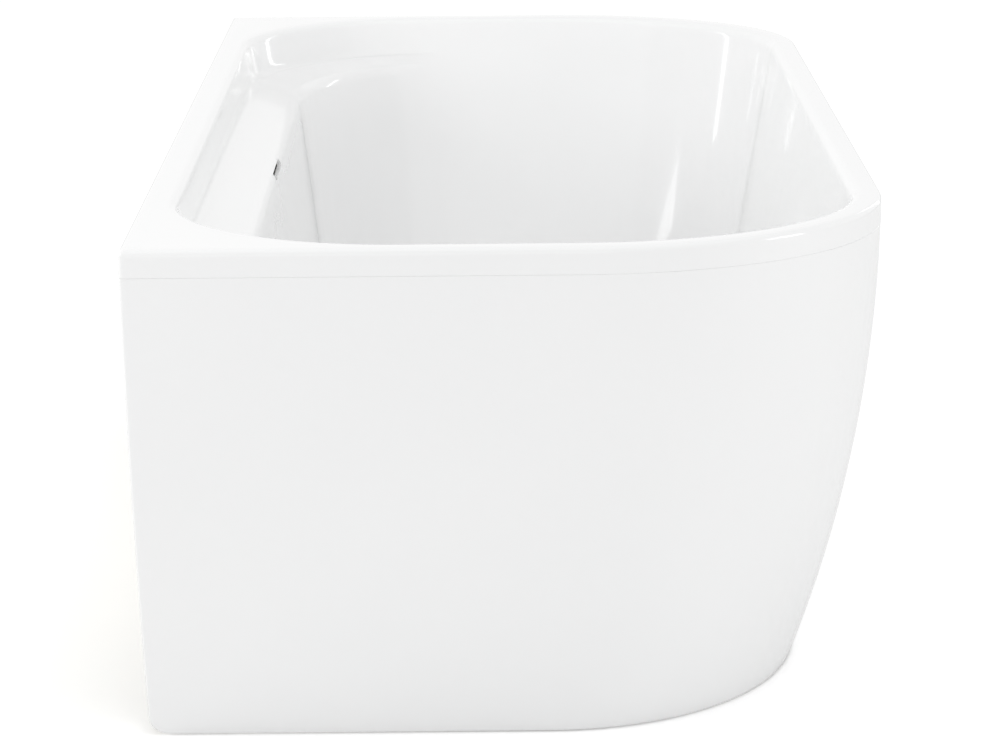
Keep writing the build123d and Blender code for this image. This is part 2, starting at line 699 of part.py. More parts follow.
def make_waste_body():
    """The plastic body under the well, with its side port for the overflow hose."""
    body = drum(WASTE, BODY_FLANGE, BODY_TOP - BODY_FLANGE_HEIGHT, BODY_TOP)
    body += drum(WASTE, BODY_RADIUS, BODY_TAIL_TOP, BODY_TOP - BODY_FLANGE_HEIGHT)
    body += drum(WASTE, BODY_TAIL, BODY_LOW, BODY_TAIL_TOP)
    body += bar_along_y(WASTE[0], PORT_LEVEL, HOSE_BORE, WASTE[1], WASTE[1] + PORT_REACH)
    body -= drum(WASTE, SLEEVE_OUT, CHAMBER_HIGH, BODY_TOP + PAST)
    body -= drum(WASTE, CHAMBER_RADIUS, CHAMBER_LOW, CHAMBER_HIGH)
    body -= drum(WASTE, TAIL_BORE, BODY_LOW - PAST, CHAMBER_LOW)
    port_bore = HOSE_BORE - SPIGOT_WALL
    return body - bar_along_y(WASTE[0], PORT_LEVEL, port_bore, WASTE[1], WASTE[1] + PORT_REACH + PAST)


def make_waste():
    """The waste: flange, body, and a seal above and below the well's floor."""
    recess = FLOOR_TOP - RECESS_DEPTH
    under = SHELL_UNDER - RECESS_DEPTH
    return {
        "waste_flange": make_waste_flange(),
        "flange_seal": ring(WASTE, FLANGE_SEAL_OUT, SEAL_IN, recess, WASTE_SEAT),
        "body_seal": ring(WASTE, BODY_SEAL_OUT, SEAL_IN, BODY_TOP, under),
        "waste_body": make_waste_body(),
    }


def make_plug():
    """The push plug, drawn open: guide in the flange, stem with its stop, spring, cap and seal."""
    guide_top = BOSS_HIGH + GUIDE_HEAD_HEIGHT
    guide = drum(WASTE, GUIDE_RADIUS, BOSS_LOW, BOSS_HIGH) + drum(WASTE, GUIDE_HEAD, BOSS_HIGH, guide_top)
    guide -= drum(WASTE, STEM_RADIUS + STEM_GAP, 0, HEIGHT)
    cap_low = WASTE_SEAT + FLANGE_HEIGHT + PLUG_CLEAR + PLUG_TRAVEL
    cap_edge = cap_low + CAP_EDGE
    stop_top = BOSS_LOW - STOP_GAP
    stem = drum(WASTE, STEM_RADIUS, stop_top - STEM_TAIL, cap_low)
    stem += drum(WASTE, STOP_RADIUS, stop_top - STEM_TAIL, stop_top)
    dome = Pos(WASTE[0], WASTE[1], cap_edge + CAP_DOME / 2) * Cone(CAP_RADIUS, CAP_TOP_RADIUS, CAP_DOME)
    return {
        "plug_guide": guide,
        "plug_spring": ring(WASTE, SPRING_OUT, SPRING_IN, guide_top, cap_low - SPRING_GAP),
        "plug_stem": stem,
        "plug_cap": drum(WASTE, CAP_RADIUS, cap_low, cap_edge) + dome,
        "plug_seal": ring(WASTE, PLUG_SEAL_OUT, PLUG_SEAL_IN, cap_low - PLUG_SEAL_HEIGHT, cap_low),
    }


def make_overflow(backing):
    """The overflow box behind the slot, and the gasket that follows the back of the shell."""
    outside = block((-BOX_HALF_LENGTH, BOX_ROOM, BOX_LOW), (BOX_HALF_LENGTH, BOX_WALL, BOX_HIGH)) - backing
    inner = BOX_HALF_LENGTH - BOX_CHEEK
    hollow = block((-inner, 0, BOX_LOW + BOX_SHEET), (inner, BOX_WALL - BOX_SHEET, BOX_HIGH - BOX_SHEET))
    pad = Pos(0, GASKET, 0) * backing
    gasket = (outside & pad) - hollow
    box = outside - pad - hollow
    centre = (0, HOSE_Y)
    foot = BOX_LOW - SPIGOT_LENGTH
    box += drum(centre, HOSE_BORE, foot, BOX_LOW + BOX_SHEET / 2)
    box -= drum(centre, HOSE_BORE - SPIGOT_WALL, foot - PAST, BOX_LOW + BOX_SHEET + PAST)
    return {"overflow_box": box, "overflow_gasket": gasket}


def hose_route():
    """The hose's length, and its points and directions: down, round the bend, level to the waste."""
    top = BOX_LOW - HOSE_TOP_GAP
    straight = top - PORT_LEVEL - HOSE_BEND
    bend = HOSE_BEND * math.pi / 2
    whole = straight + bend + HOSE_Y - HOSE_BEND - HOSE_END_Y

    def at(distance):
        """The point and the direction at one distance along the hose."""
        if distance <= straight:
            return (0, HOSE_Y, top - distance), (0, 0, -1)
        if distance <= straight + bend:
            turn = (distance - straight) / HOSE_BEND
            point_y = HOSE_Y - HOSE_BEND * (1 - math.cos(turn))
            point_z = PORT_LEVEL + HOSE_BEND * (1 - math.sin(turn))
            return (0, point_y, point_z), (0, -math.sin(turn), -math.cos(turn))
        return (0, HOSE_Y - HOSE_BEND - (distance - straight - bend), PORT_LEVEL), (0, -1, 0)

    return whole, straight, bend, at


def make_hose():
    """The ribbed overflow hose with its bore, plain at both cuffs."""
    whole, straight, bend, at = hose_route()
    ribs = int((whole - 2 * HOSE_CUFF) / HOSE_PITCH)
    pitch = (whole - 2 * HOSE_CUFF) / ribs
    rib_radii = (HOSE_VALLEY, HOSE_CREST, HOSE_CREST, HOSE_VALLEY)
    stations = [(0, HOSE_VALLEY)]
    for rib in range(ribs):
        start = HOSE_CUFF + rib * pitch
        stations += [(start + share * pitch, radius) for share, radius in zip(RIB_SHARES, rib_radii)]
    stations.append((whole, HOSE_VALLEY))
    circles = []
    for distance, radius in stations:
        point, way = at(distance)
        plane = Plane(origin=point, x_dir=(1, 0, 0), z_dir=way)
        circles.append(Wire([Edge.make_circle(radius, plane)]))
    outside = Solid.make_loft(circles, True)
    start, bend_start, bend_middle, bend_end, end = [
        at(distance)[0] for distance in (0, straight, straight + bend / 2, straight + bend, whole)
    ]
    path = Wire([Line(start, bend_start), ThreePointArc(bend_start, bend_middle, bend_end), Line(bend_end, end)])
    bore = sweep(Plane(origin=start, x_dir=(1, 0, 0), z_dir=(0, 0, -1)) * Circle(HOSE_BORE), path)
    print("hose length", round(whole), "ribs", ribs)
    return outside - bore


def make_clips():
    """The two worm clips that hold the hose on its spigots."""
    band = HOSE_VALLEY + CLIP_BAND
    worm_reach = HOSE_VALLEY + WORM_HEIGHT
    high = BOX_LOW - HOSE_TOP_GAP - CLIP_FROM_END
    low = high - CLIP_WIDTH
    upper = drum((0, HOSE_Y), band, low, high)
    upper += block((-WORM_HALF_LENGTH, HOSE_Y, low), (WORM_HALF_LENGTH, HOSE_Y + worm_reach, high))
    upper -= drum((0, HOSE_Y), HOSE_VALLEY, low - PAST, high + PAST)
    near = HOSE_END_Y + CLIP_FROM_END
    far = near + CLIP_WIDTH
    lower = bar_along_y(0, PORT_LEVEL, band, near, far)
    lower += block((-WORM_HALF_LENGTH, near, PORT_LEVEL - worm_reach), (WORM_HALF_LENGTH, far, PORT_LEVEL))
    lower -= bar_along_y(0, PORT_LEVEL, HOSE_VALLEY, near - PAST, far + PAST)
    return {"hose_clip_upper": upper, "hose_clip_lower": lower}


def trap_path():
    """The trap's centre line: down, round the low bend, up the riser and over to the outlet."""
    x, y = WASTE
    bend = TRAP_REACH / 2
    knee = TRAP_CROWN + bend
    riser = TRAP_OUTLET_LEVEL - TRAP_ELBOW
    slip = TRAP_ELBOW * (1 - math.sqrt(0.5))
    return Wire([
        Line((x, y, TRAP_TOP), (x, y, knee)),
        ThreePointArc((x, y, knee), (x + bend, y, TRAP_CROWN), (OUTLET_X, y, knee)),
        Line((OUTLET_X, y, knee), (OUTLET_X, y, riser)),
        ThreePointArc((OUTLET_X, y, riser), (OUTLET_X, y + slip, TRAP_OUTLET_LEVEL - slip),
                      (OUTLET_X, y + TRAP_ELBOW, TRAP_OUTLET_LEVEL)),
        Line((OUTLET_X, y + TRAP_ELBOW, TRAP_OUTLET_LEVEL), (OUTLET_X, y + SOCKET_STOP, TRAP_OUTLET_LEVEL)),
    ])


def make_trap_body():
    """The trap's pipe with its collar, its cleaning eye and the outlet's socket."""
    x, y = WASTE
    path = trap_path()
    mouth = Plane(origin=(x, y, TRAP_TOP), x_dir=(1, 0, 0), z_dir=(0, 0, -1))
    body = sweep(mouth * Circle(PIPE_OUT), path) + drum(WASTE, COLLAR_RADIUS, TRAP_TOP - COLLAR_HEIGHT, TRAP_TOP)
    body += bar_along_y(OUTLET_X, TRAP_OUTLET_LEVEL, SOCKET_RADIUS, y + SOCKET_START, SOCKET_MOUTH)
    body += bar_along_x(y, EYE_LEVEL, EYE_RADIUS, x - EYE_REACH, x - PIPE_IN)
    body -= sweep(mouth * Circle(PIPE_IN), path)
    body -= bar_along_x(y, EYE_LEVEL, EYE_BORE, x - EYE_REACH - PAST, x)
    return body - bar_along_y(OUTLET_X, TRAP_OUTLET_LEVEL, SOCKET_BORE, SOCKET_MOUTH - SOCKET_LENGTH, SOCKET_MOUTH)


def make_union_nut():
    """The nut that draws the trap up to the waste, with grips all round."""
    lip_top = TRAP_TOP - COLLAR_HEIGHT
    low = lip_top - UNION_LIP
    nut = ring(WASTE, UNION_RADIUS, BODY_TAIL, lip_top, BODY_TAIL_TOP)
    nut += ring(WASTE, UNION_RADIUS, UNION_LIP_BORE, low, lip_top)
    middle = Pos(WASTE[0], WASTE[1], (low + BODY_TAIL_TOP) / 2)
    grip = Pos(UNION_RADIUS, 0, 0) * Box(GRIP_HEIGHT, GRIP_WIDTH, BODY_TAIL_TOP - low)
    for turn in range(GRIPS):
        nut += middle * Rot(0, 0, 360 * turn / GRIPS) * grip
    return nut


def make_outlet_nut():
    """The nut that squeezes the outlet's ring onto the waste pipe, with grips all round."""
    low = SOCKET_MOUTH - OUTLET_NUT_GRIP
    shoulder = SOCKET_MOUTH + OUTLET_RING
    high = shoulder + OUTLET_NUT_LIP
    nut = ring_along_y(OUTLET_X, TRAP_OUTLET_LEVEL, OUTLET_NUT_RADIUS, SOCKET_RADIUS, low, shoulder)
    nut += ring_along_y(OUTLET_X, TRAP_OUTLET_LEVEL, OUTLET_NUT_RADIUS, OUTLET_NUT_BORE, shoulder, high)
    middle = Pos(OUTLET_X, (low + high) / 2, TRAP_OUTLET_LEVEL)
    grip = Pos(OUTLET_NUT_RADIUS, 0, 0) * Box(GRIP_HEIGHT, high - low, GRIP_WIDTH)
    for turn in range(GRIPS):
        nut += middle * Rot(0, 360 * turn / GRIPS, 0) * grip
    return nut


def make_trap():
    """The low trap and what is screwed to it."""
    x, y = WASTE
    cap_low = x - EYE_REACH - CLEANING_CAP_HEIGHT / 2
    cap = bar_along_x(y, EYE_LEVEL, CLEANING_CAP_RADIUS, cap_low, cap_low + CLEANING_CAP_HEIGHT)
    cap -= bar_along_x(y, EYE_LEVEL, EYE_RADIUS, x - EYE_REACH, x)
    ring_out = SOCKET_RADIUS - OUTLET_RING_GAP
    ring_stop = SOCKET_MOUTH + OUTLET_RING
    return {
        "trap_body": make_trap_body(),
        "trap_cleaning_cap": cap,
        "trap_nut": make_union_nut(),
        "trap_washer": ring(WASTE, COLLAR_RADIUS, WASHER_BORE, TRAP_TOP, BODY_LOW),
        "trap_outlet_ring": ring_along_y(OUTLET_X, TRAP_OUTLET_LEVEL, ring_out, SOCKET_BORE, SOCKET_MOUTH, ring_stop),
        "trap_outlet_nut": make_outlet_nut(),
    }


# Shell and skirt
well = well_solid()
backing = well_backing()
window = service_window()
inside_skirt = skirt_block(SKIRT_WALL)
save(make_inner_shell(well, backing), "inner_shell")
save(make_outer_skirt(window), "outer_skirt")
save(make_seam_bond(window), "seam_bond")
save(make_wall_batten(), "wall_batten")

# Board, legs and posts
leg_screws, plate_screws = make_board_screws()
fixings = far_fixing_screws()
fixings += [mirror(screw, Plane.YZ) for screw in fixings]
save(make_base_board(leg_screws + plate_screws), "base_board")
save(Compound(leg_screws + plate_screws), "board_screws")
save(Compound(fixings), "skirt_screws")
save(make_centre_plate(plate_screws), "centre_foot_plate")
for side, end in ((-1, "near"), (1, "far")):
    save(make_leg_bar(side, leg_screws + fixings), "leg_bar_" + end)
    save(make_wall_post(side), "wall_post_" + end)
    stay = end_stay() if side > 0 else mirror(end_stay(), Plane.YZ)
    bracket = room_bracket() if side > 0 else mirror(room_bracket(), Plane.YZ)
    end_block = make_end_block(side, inside_skirt)
    room_block = make_room_block(side, inside_skirt)
    for screw in fixings:
        stay -= screw
        bracket -= screw
        end_block -= screw
        room_block -= screw
    save(stay, "end_stay_" + end)
    save(bracket, "room_bracket_" + end)
    save(end_block, "end_block_" + end)
    save(room_block, "room_block_" + end)

# Feet
places = foot_places()
leg_places = [place for name, place in places.items() if name != "centre"]
save(Compound([make_insert(place) for place in leg_places]), "foot_inserts")
lock_nuts = [lock_nut(place, TUBE_UNDER - INSERT_RIM) for place in leg_places]
lock_nuts.append(lock_nut(CENTRE_FOOT, BOARD_UNDER - STEEL - WELDED_NUT_HEIGHT))
save(Compound(lock_nuts), "foot_lock_nuts")
for name, place in places.items():
    rod_top = BOARD_UNDER + ROD_INTO_BOARD if name == "centre" else BOARD_UNDER - ROD_BELOW_BOARD
    rod, pad = make_foot(place, rod_top)
    save(rod, "foot_rod_" + name)
    save(pad, "foot_pad_" + name)

# Waste, plug, overflow and trap
save(make_hose(), "overflow_hose")
for group in (make_waste(), make_plug(), make_overflow(backing), make_clips(), make_trap()):
    for name, shape in group.items():
        save(shape, name)
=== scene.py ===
import bmesh
import bpy
import math

from mathutils import Matrix, Vector


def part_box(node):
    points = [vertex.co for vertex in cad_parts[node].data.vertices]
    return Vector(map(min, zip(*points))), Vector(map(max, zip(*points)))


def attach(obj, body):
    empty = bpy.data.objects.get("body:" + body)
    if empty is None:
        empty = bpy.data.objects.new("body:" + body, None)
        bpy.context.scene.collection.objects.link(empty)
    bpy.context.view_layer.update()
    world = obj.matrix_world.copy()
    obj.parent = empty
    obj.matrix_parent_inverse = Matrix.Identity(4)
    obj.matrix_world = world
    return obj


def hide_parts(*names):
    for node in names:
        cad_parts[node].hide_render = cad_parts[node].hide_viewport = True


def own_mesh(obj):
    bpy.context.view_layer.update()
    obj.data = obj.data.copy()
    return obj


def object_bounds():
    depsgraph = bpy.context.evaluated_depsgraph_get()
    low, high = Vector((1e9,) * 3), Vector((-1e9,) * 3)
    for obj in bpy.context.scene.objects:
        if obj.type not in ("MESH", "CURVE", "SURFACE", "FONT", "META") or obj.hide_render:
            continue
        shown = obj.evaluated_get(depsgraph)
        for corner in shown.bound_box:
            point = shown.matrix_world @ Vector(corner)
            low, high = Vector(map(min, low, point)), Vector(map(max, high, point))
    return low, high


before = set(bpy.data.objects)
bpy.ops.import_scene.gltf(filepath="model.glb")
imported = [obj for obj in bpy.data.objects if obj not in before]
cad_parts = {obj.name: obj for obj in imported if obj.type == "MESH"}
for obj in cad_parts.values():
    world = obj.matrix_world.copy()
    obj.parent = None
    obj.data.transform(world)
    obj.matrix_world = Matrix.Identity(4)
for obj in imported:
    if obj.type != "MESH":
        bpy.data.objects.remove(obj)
cad_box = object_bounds()


# Inner shell: one sheet of white acrylic, drawn over a mould into rim, step, shelf and well, and backed
# with glass-fibre laminate. The rim turns down over the skirt. Waste recess and overflow slot are cut after.

class Shade:
    """A socket in a material's node tree. Arithmetic on it adds Math nodes."""

    def __init__(self, tree, socket):
        self.tree = tree
        self.socket = socket

    def node(self, kind, settings=None, inputs=None, output=0):
        """Adds a node of any type: its settings first, then the values or links of its sockets."""
        made = self.tree.nodes.new(kind)
        for name, value in (settings or {}).items():
            if name == "stops":
                for stop, (place, level) in zip(made.color_ramp.elements, value):
                    stop.position = place
                    stop.color = (level, level, level, 1)
            else:
                setattr(made, name, value)
        for name, value in (inputs or {}).items():
            if isinstance(value, Shade):
                self.tree.links.new(value.socket, made.inputs[name])
            else:
                made.inputs[name].default_value = value
        return Shade(self.tree, made.outputs[output])

    def sum(self, operation, first, second):
        """A Math node on two values."""
        return self.node("ShaderNodeMath", {"operation": operation}, {0: first, 1: second})

    def __add__(self, other):
        return self.sum("ADD", self, other)

    def __radd__(self, other):
        return self.sum("ADD", other, self)

    def __mul__(self, other):
        return self.sum("MULTIPLY", self, other)

    def __rmul__(self, other):
        return self.sum("MULTIPLY", other, self)


def new_finish(name):
    """A new material: the material itself, its shader, and its Object coordinates."""
    finish = bpy.data.materials.new(name)
    finish.use_nodes = True
    tree = finish.node_tree
    place = Shade(tree, tree.nodes.new("ShaderNodeTexCoord").outputs["Object"])
    return finish, tree.nodes["Principled BSDF"], place


def feed(shader, values):
    """Sets or links the shader's sockets."""
    for name, value in values.items():
        if isinstance(value, Shade):
            value.tree.links.new(value.socket, shader.inputs[name])
        else:
            shader.inputs[name].default_value = value


def stretched(place, scale):
    """The coordinates, stretched by a scale for each axis."""
    return place.node("ShaderNodeMapping", {}, {"Vector": place, "Scale": scale})


def noise(place, scale, detail=3.0, roughness=0.55, distortion=0.0):
    """Cloudy variation from 0 to 1, at so many features a metre."""
    inputs = {
        "Vector": place, "Scale": scale, "Detail": detail, "Roughness": roughness, "Distortion": distortion,
    }
    return place.node("ShaderNodeTexNoise", {}, inputs)


def ramp(value, low, high):
    """The value spread out so that low becomes 0 and high becomes 1."""
    stops = {"stops": [(low, 0.0), (high, 1.0)]}
    return value.node("ShaderNodeValToRGB", stops, {"Fac": value})


def blended(amount, first, second):
    """A colour between two colours."""
    return amount.node("ShaderNodeMix", {"data_type": "RGBA"}, {0: amount, 6: first, 7: second}, 2)


def bumped(height, strength, distance):
    """A surface normal tilted by a height."""
    return height.node("ShaderNodeBump", {}, {"Height": height, "Strength": strength, "Distance": distance})


def rgb(red, green, blue):
    """An opaque colour."""
    return (red, green, blue, 1.0)


def acrylic_finish():
    """White acrylic: high gloss, a trace of cloud in the colour and of ripple from the mould."""
    finish, shader, place = new_finish("white_acrylic")
    clouds = noise(place, 2.2)
    fine = noise(place, 38.0, 2.0)
    feed(shader, {
        "Base Color": blended(ramp(clouds, 0.3, 0.7), rgb(0.932, 0.935, 0.936), rgb(0.948, 0.950, 0.950)),
        "Roughness": 0.085 + 0.06 * noise(place, 14.0),
        "Normal": bumped(fine, 0.02, 0.002),
        "IOR": 1.49,
        "Coat Weight": 0.6,
        "Coat Roughness": 0.04,
    })
    return finish


def laminate_finish():
    """Rolled glass-fibre laminate on the back of the acrylic: chopped strands under clear resin."""
    finish, shader, place = new_finish("glass_laminate")
    strands = noise(stretched(place, (1.0, 3.0, 1.0)), 70.0, 5.0, 0.7, 2.2)
    patches = noise(place, 7.0, 4.0)
    tone = blended(ramp(strands, 0.42, 0.58), rgb(0.47, 0.44, 0.31), rgb(0.80, 0.78, 0.66))
    feed(shader, {
        "Base Color": blended(0.6 * ramp(patches, 0.4, 0.7), tone, rgb(0.70, 0.67, 0.54)),
        "Roughness": 0.35 + 0.3 * patches,
        "Normal": bumped(strands, 0.8, 0.004),
    })
    return finish


ACRYLIC = acrylic_finish()
LAMINATE = laminate_finish()


def deselect():
    """Leaves edit mode and selects nothing."""
    if bpy.context.mode != "OBJECT":
        bpy.ops.object.mode_set(mode="OBJECT")
    bpy.ops.object.select_all(action="DESELECT")


def lay(piece, outline):
    """Puts the selected row of points on an outline."""
    grid = bmesh.from_edit_mesh(piece.data)
    order = grid.verts.layers.int["order"]
    for point in grid.verts:
        if point.select:
            point.co = outline[point[order]]
    bmesh.update_edit_mesh(piece.data)


def start_row(name, outline, closed=True):
    """A new piece in edit mode, with one selected row of points laid on an outline."""
    deselect()
    bpy.ops.mesh.primitive_circle_add(vertices=len(outline))
    piece = bpy.context.object
    piece.name = name
    bpy.ops.object.mode_set(mode="EDIT")
    grid = bmesh.from_edit_mesh(piece.data)
    order = grid.verts.layers.int.new("order")
    grid.verts.ensure_lookup_table()
    for number, point in enumerate(grid.verts):
        point[order] = number
    bmesh.update_edit_mesh(piece.data)
    lay(piece, outline)
    if not closed:
        grid = bmesh.from_edit_mesh(piece.data)
        last = len(outline) - 1
        for edge in grid.edges:
            edge.select = {point[order] for point in edge.verts} == {0, last}
        bpy.ops.mesh.delete(type="EDGE_FACE")
        bpy.ops.mesh.select_all(action="SELECT")
    return piece


def pull(piece, *outlines):
    """Extrudes the selected row to each outline in turn."""
    for outline in outlines:
        bpy.ops.mesh.extrude_region()
        lay(piece, outline)


def modify(piece, kind, **settings):
    """Adds a modifier and applies it."""
    if bpy.context.mode != "OBJECT":
        bpy.ops.object.mode_set(mode="OBJECT")
    bpy.context.view_layer.objects.active = piece
    modifier = piece.modifiers.new(kind.lower(), kind)
    for name, value in settings.items():
        setattr(modifier, name, value)
    bpy.ops.object.modifier_apply(modifier=modifier.name)


def outward(piece, merge=0.00001):
    """Merges doubled points, turns every face outwards and leaves edit mode."""
    if bpy.context.mode == "OBJECT":
        bpy.context.view_layer.objects.active = piece
        bpy.ops.object.mode_set(mode="EDIT")
    bpy.ops.mesh.select_all(action="SELECT")
    bpy.ops.mesh.remove_doubles(threshold=merge)
    bpy.ops.mesh.normals_make_consistent(inside=False)
    bpy.ops.object.mode_set(mode="OBJECT")


def face_up(piece, inside_point):
    """Turns an open sheet so that its faces look away from a point behind it."""
    total = 0.0
    for face in piece.data.polygons:
        total += face.area * face.normal.dot(face.center - Vector(inside_point))
    if total < 0:
        piece.data.flip_normals()


def smooth(piece, angle=35.0):
    """Smooth shading, with sharp edges kept above an angle."""
    deselect()
    piece.select_set(True)
    bpy.context.view_layer.objects.active = piece
    bpy.ops.object.shade_smooth_by_angle(angle=math.radians(angle))


def lined(piece, thickness):
    """Gives an acrylic sheet its thickness, with laminate on its back."""
    piece.data.materials.append(ACRYLIC)
    piece.data.materials.append(LAMINATE)
    modify(piece, "SOLIDIFY", thickness=thickness, offset=-1.0, use_quality_normals=True, material_offset=1)
    smooth(piece, 40.0)


def finished(piece, nodes, body, finish=None):
    """Gives a piece its material, its body, and the nodes that it stands for."""
    deselect()
    order = piece.data.attributes.get("order")
    if order:
        piece.data.attributes.remove(order)
    if finish:
        piece.data.materials.clear()
        piece.data.materials.append(finish)
    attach(piece, body)
    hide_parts(*nodes)


def between(start, stop, share):
    """The value part of the way from start to stop."""
    return start + (stop - start) * share


def spread(start, stop, steps):
    """Evenly spaced points from start up to, but not at, stop."""
    return [tuple(between(a, b, step / steps) for a, b in zip(start, stop)) for step in range(steps)]


def quarter(centre, radii, start, steps):
    """Points on a quarter ellipse, clockwise from an angle up to, but not at, its end."""
    points = []
    for step in range(steps):
        angle = math.radians(start - 90 * step / steps)
        points.append((centre[0] + radii[0] * math.cos(angle), centre[1] + radii[1] * math.sin(angle)))
    return points


# The bath's outside, in metres: overall size, the draw-in towards the floor and the round room corners.
LENGTH, WIDTH, HEIGHT = (high - low for low, high in zip(*cad_box))
STRAIGHT_BAND = 0.005
END_DRAW_IN = 0.090
ROOM_DRAW_IN = 0.082
WALL_DRAFT = 0.008
ROOM_CORNER_TOP = (0.300, 0.330)
ROOM_CORNER_FLOOR = (0.335, 0.280)

# The rim and the lip that turns down over the skirt.
RIM_WIDTH = 0.020
WALL_RIM_WIDTH = 0.029
LIP_HEIGHT = 0.028
LIP_ROUND = 0.006
WALL_THICKNESS = 0.0056

# The well: lean of each wall as run over depth, roundings at rim and floor, corner radii.
WELL_DEPTH = 0.405
END_LEAN = 0.52
ROOM_LEAN = 0.20
WALL_LEAN = 0.14
RIM_ROUND = 0.014
WALL_RIM_ROUND = 0.010
END_FOOT = 0.090
SIDE_FOOT = 0.060
ROOM_WELL_CORNER_TOP = (0.280, 0.310)
ROOM_WELL_CORNER_FLOOR = (0.200, 0.180)

# The step and the shelf on the wall side.
STEP_DEPTH = 0.048
STEP_LEAN = 0.23
SHELF_SLOPE = 0.28
SHELF_ROUND = 0.022
FOLD_ROUND = 0.014
WELL_LINE = (0.084, 0.070)
STEP_CORNER = (0.250, 0.250)
SHELF_CORNER = (0.280, 0.185)
WALL_WELL_CORNER_FLOOR = (0.210, 0.150)

# Waste recess and overflow slot.
WASTE = (0.0, 0.060)
RECESS_RADIUS = 0.040
RECESS_DEPTH = 0.004
WASTE_HOLE = 0.023
SLOT_DEPTH = 0.073
SLOT_HALF_LENGTH = 0.055
SLOT_END = 0.004

# How many steps each stretch of an outline has.
SLOT_COLUMNS = (0.0, 0.026, 0.051, 0.055)
WALL_STEPS = 9
WALL_RUN = 0.120
CORNER_STEPS = 24
CORNER_SIDE = 10
END_STEPS = 6
ROOM_STEPS = 9


def mirrored(half, level):
    """A closed outline from its far half, at one level."""
    return [(x, y, level) for x, y in half + [(-x, y) for x, y in reversed(half[1:-1])]]


def wall_run(end_x, wall):
    """The straight part of the wall side: columns at the slot, then even steps."""
    points = [(x, wall) for x in SLOT_COLUMNS]
    return points + spread((WALL_RUN, wall), (end_x, wall), WALL_STEPS)


def body_sizes(depth, inset=0.0):
    """Half length, room side, wall side and room corner of the outside form at one depth, less an inset."""
    draw_in = max(0.0, (depth - STRAIGHT_BAND) / (HEIGHT - STRAIGHT_BAND)) ** 2
    drop = depth / HEIGHT
    end = LENGTH / 2 - END_DRAW_IN * draw_in - inset
    room = WIDTH / 2 - ROOM_DRAW_IN * draw_in - inset
    wall = WIDTH / 2 - WALL_DRAFT * drop - inset
    corner = [between(a, b, drop) - inset for a, b in zip(ROOM_CORNER_TOP, ROOM_CORNER_FLOOR)]
    return end, room, wall, corner


def rim_outline(inset, level):
    """The rim's outline: nearly square at the wall, round at the room corners."""
    end, room, wall, (rx, ry) = body_sizes(0.0, inset)
    reach_x, reach_y = STEP_CORNER
    bend = max(0.0004, LIP_ROUND - inset)
    half = wall_run(end - reach_x, wall)
    half += spread((end - reach_x, wall), (end - bend, wall), CORNER_SIDE)
    half += quarter((end - bend, wall - bend), (bend, bend), 90, CORNER_STEPS - 2 * CORNER_SIDE)
    half += spread((end, wall - bend), (end, wall - reach_y), CORNER_SIDE)
    half += spread((end, wall - reach_y), (end, ry - room), END_STEPS)
    half += quarter((end - rx, ry - room), (rx, ry), 0, CORNER_STEPS)
    half += spread((end - rx, -room), (0.0, -room), ROOM_STEPS) + [(0.0, -room)]
    return mirrored(half, level)


def leaning_wall(depth, lean, rim_round, foot):
    """How far a wall stands in from the rim's inner edge: rim rounding, leaning wall, floor rounding."""
    slant = math.hypot(1, lean)
    rim_end = rim_round * (1 - lean / slant)
    foot_start = WELL_DEPTH - foot + foot * lean / slant
    if depth <= 0:
        return 0.0
    if depth < rim_end:
        return math.sqrt(rim_round ** 2 - (rim_round - depth) ** 2)
    if depth <= foot_start:
        return rim_round / slant + lean * (depth - rim_end)
    foot_centre = rim_round / slant + lean * (WELL_DEPTH - foot - rim_end) + foot * slant
    return foot_centre - math.sqrt(max(0.0, foot ** 2 - (depth - WELL_DEPTH + foot) ** 2))


def shelf_arc():
    """The convex rounding from shelf to well wall: its centre, and the depths where it starts and stops."""
    shelf_slant = math.hypot(1, SHELF_SLOPE)
    wall_slant = math.hypot(1, WALL_LEAN)
    step_in = leaning_wall(STEP_DEPTH, STEP_LEAN, WALL_RIM_ROUND, SIDE_FOOT)
    shelf_in = step_in - SHELF_ROUND * SHELF_SLOPE / shelf_slant
    shelf_depth = STEP_DEPTH + SHELF_ROUND / shelf_slant
    wall_in = WELL_LINE[0] - SHELF_ROUND / wall_slant
    wall_depth = WELL_LINE[1] + SHELF_ROUND * WALL_LEAN / wall_slant
    run = shelf_depth - wall_depth + SHELF_SLOPE * (wall_in - shelf_in)
    run = run / (1 - SHELF_SLOPE * WALL_LEAN)
    centre = (wall_in + WALL_LEAN * run, wall_depth + run)
    return centre, centre[1] - SHELF_ROUND / shelf_slant, centre[1] - SHELF_ROUND * WALL_LEAN / wall_slant


def fold_arc():
    """The concave rounding from step to shelf: its centre, and the depths where it starts and stops."""
    step_slant = math.hypot(1, STEP_LEAN)
    shelf_slant = math.hypot(1, SHELF_SLOPE)
    step_in = leaning_wall(STEP_DEPTH, STEP_LEAN, WALL_RIM_ROUND, SIDE_FOOT)
    # The centre is one radius into the bath from both lines.
    step_off = FOLD_ROUND * step_slant
    shelf_off = FOLD_ROUND * shelf_slant
    rise = (shelf_off - SHELF_SLOPE * step_off) / (1 - SHELF_SLOPE * STEP_LEAN)
    centre = (step_in + step_off - STEP_LEAN * rise, STEP_DEPTH - rise)
    start = centre[1] + FOLD_ROUND * STEP_LEAN / step_slant
    return centre, start, centre[1] + FOLD_ROUND / shelf_slant


SHELF_CENTRE, SHELF_START, SHELF_STOP = shelf_arc()
FOLD_CENTRE, FOLD_START, FOLD_STOP = fold_arc()


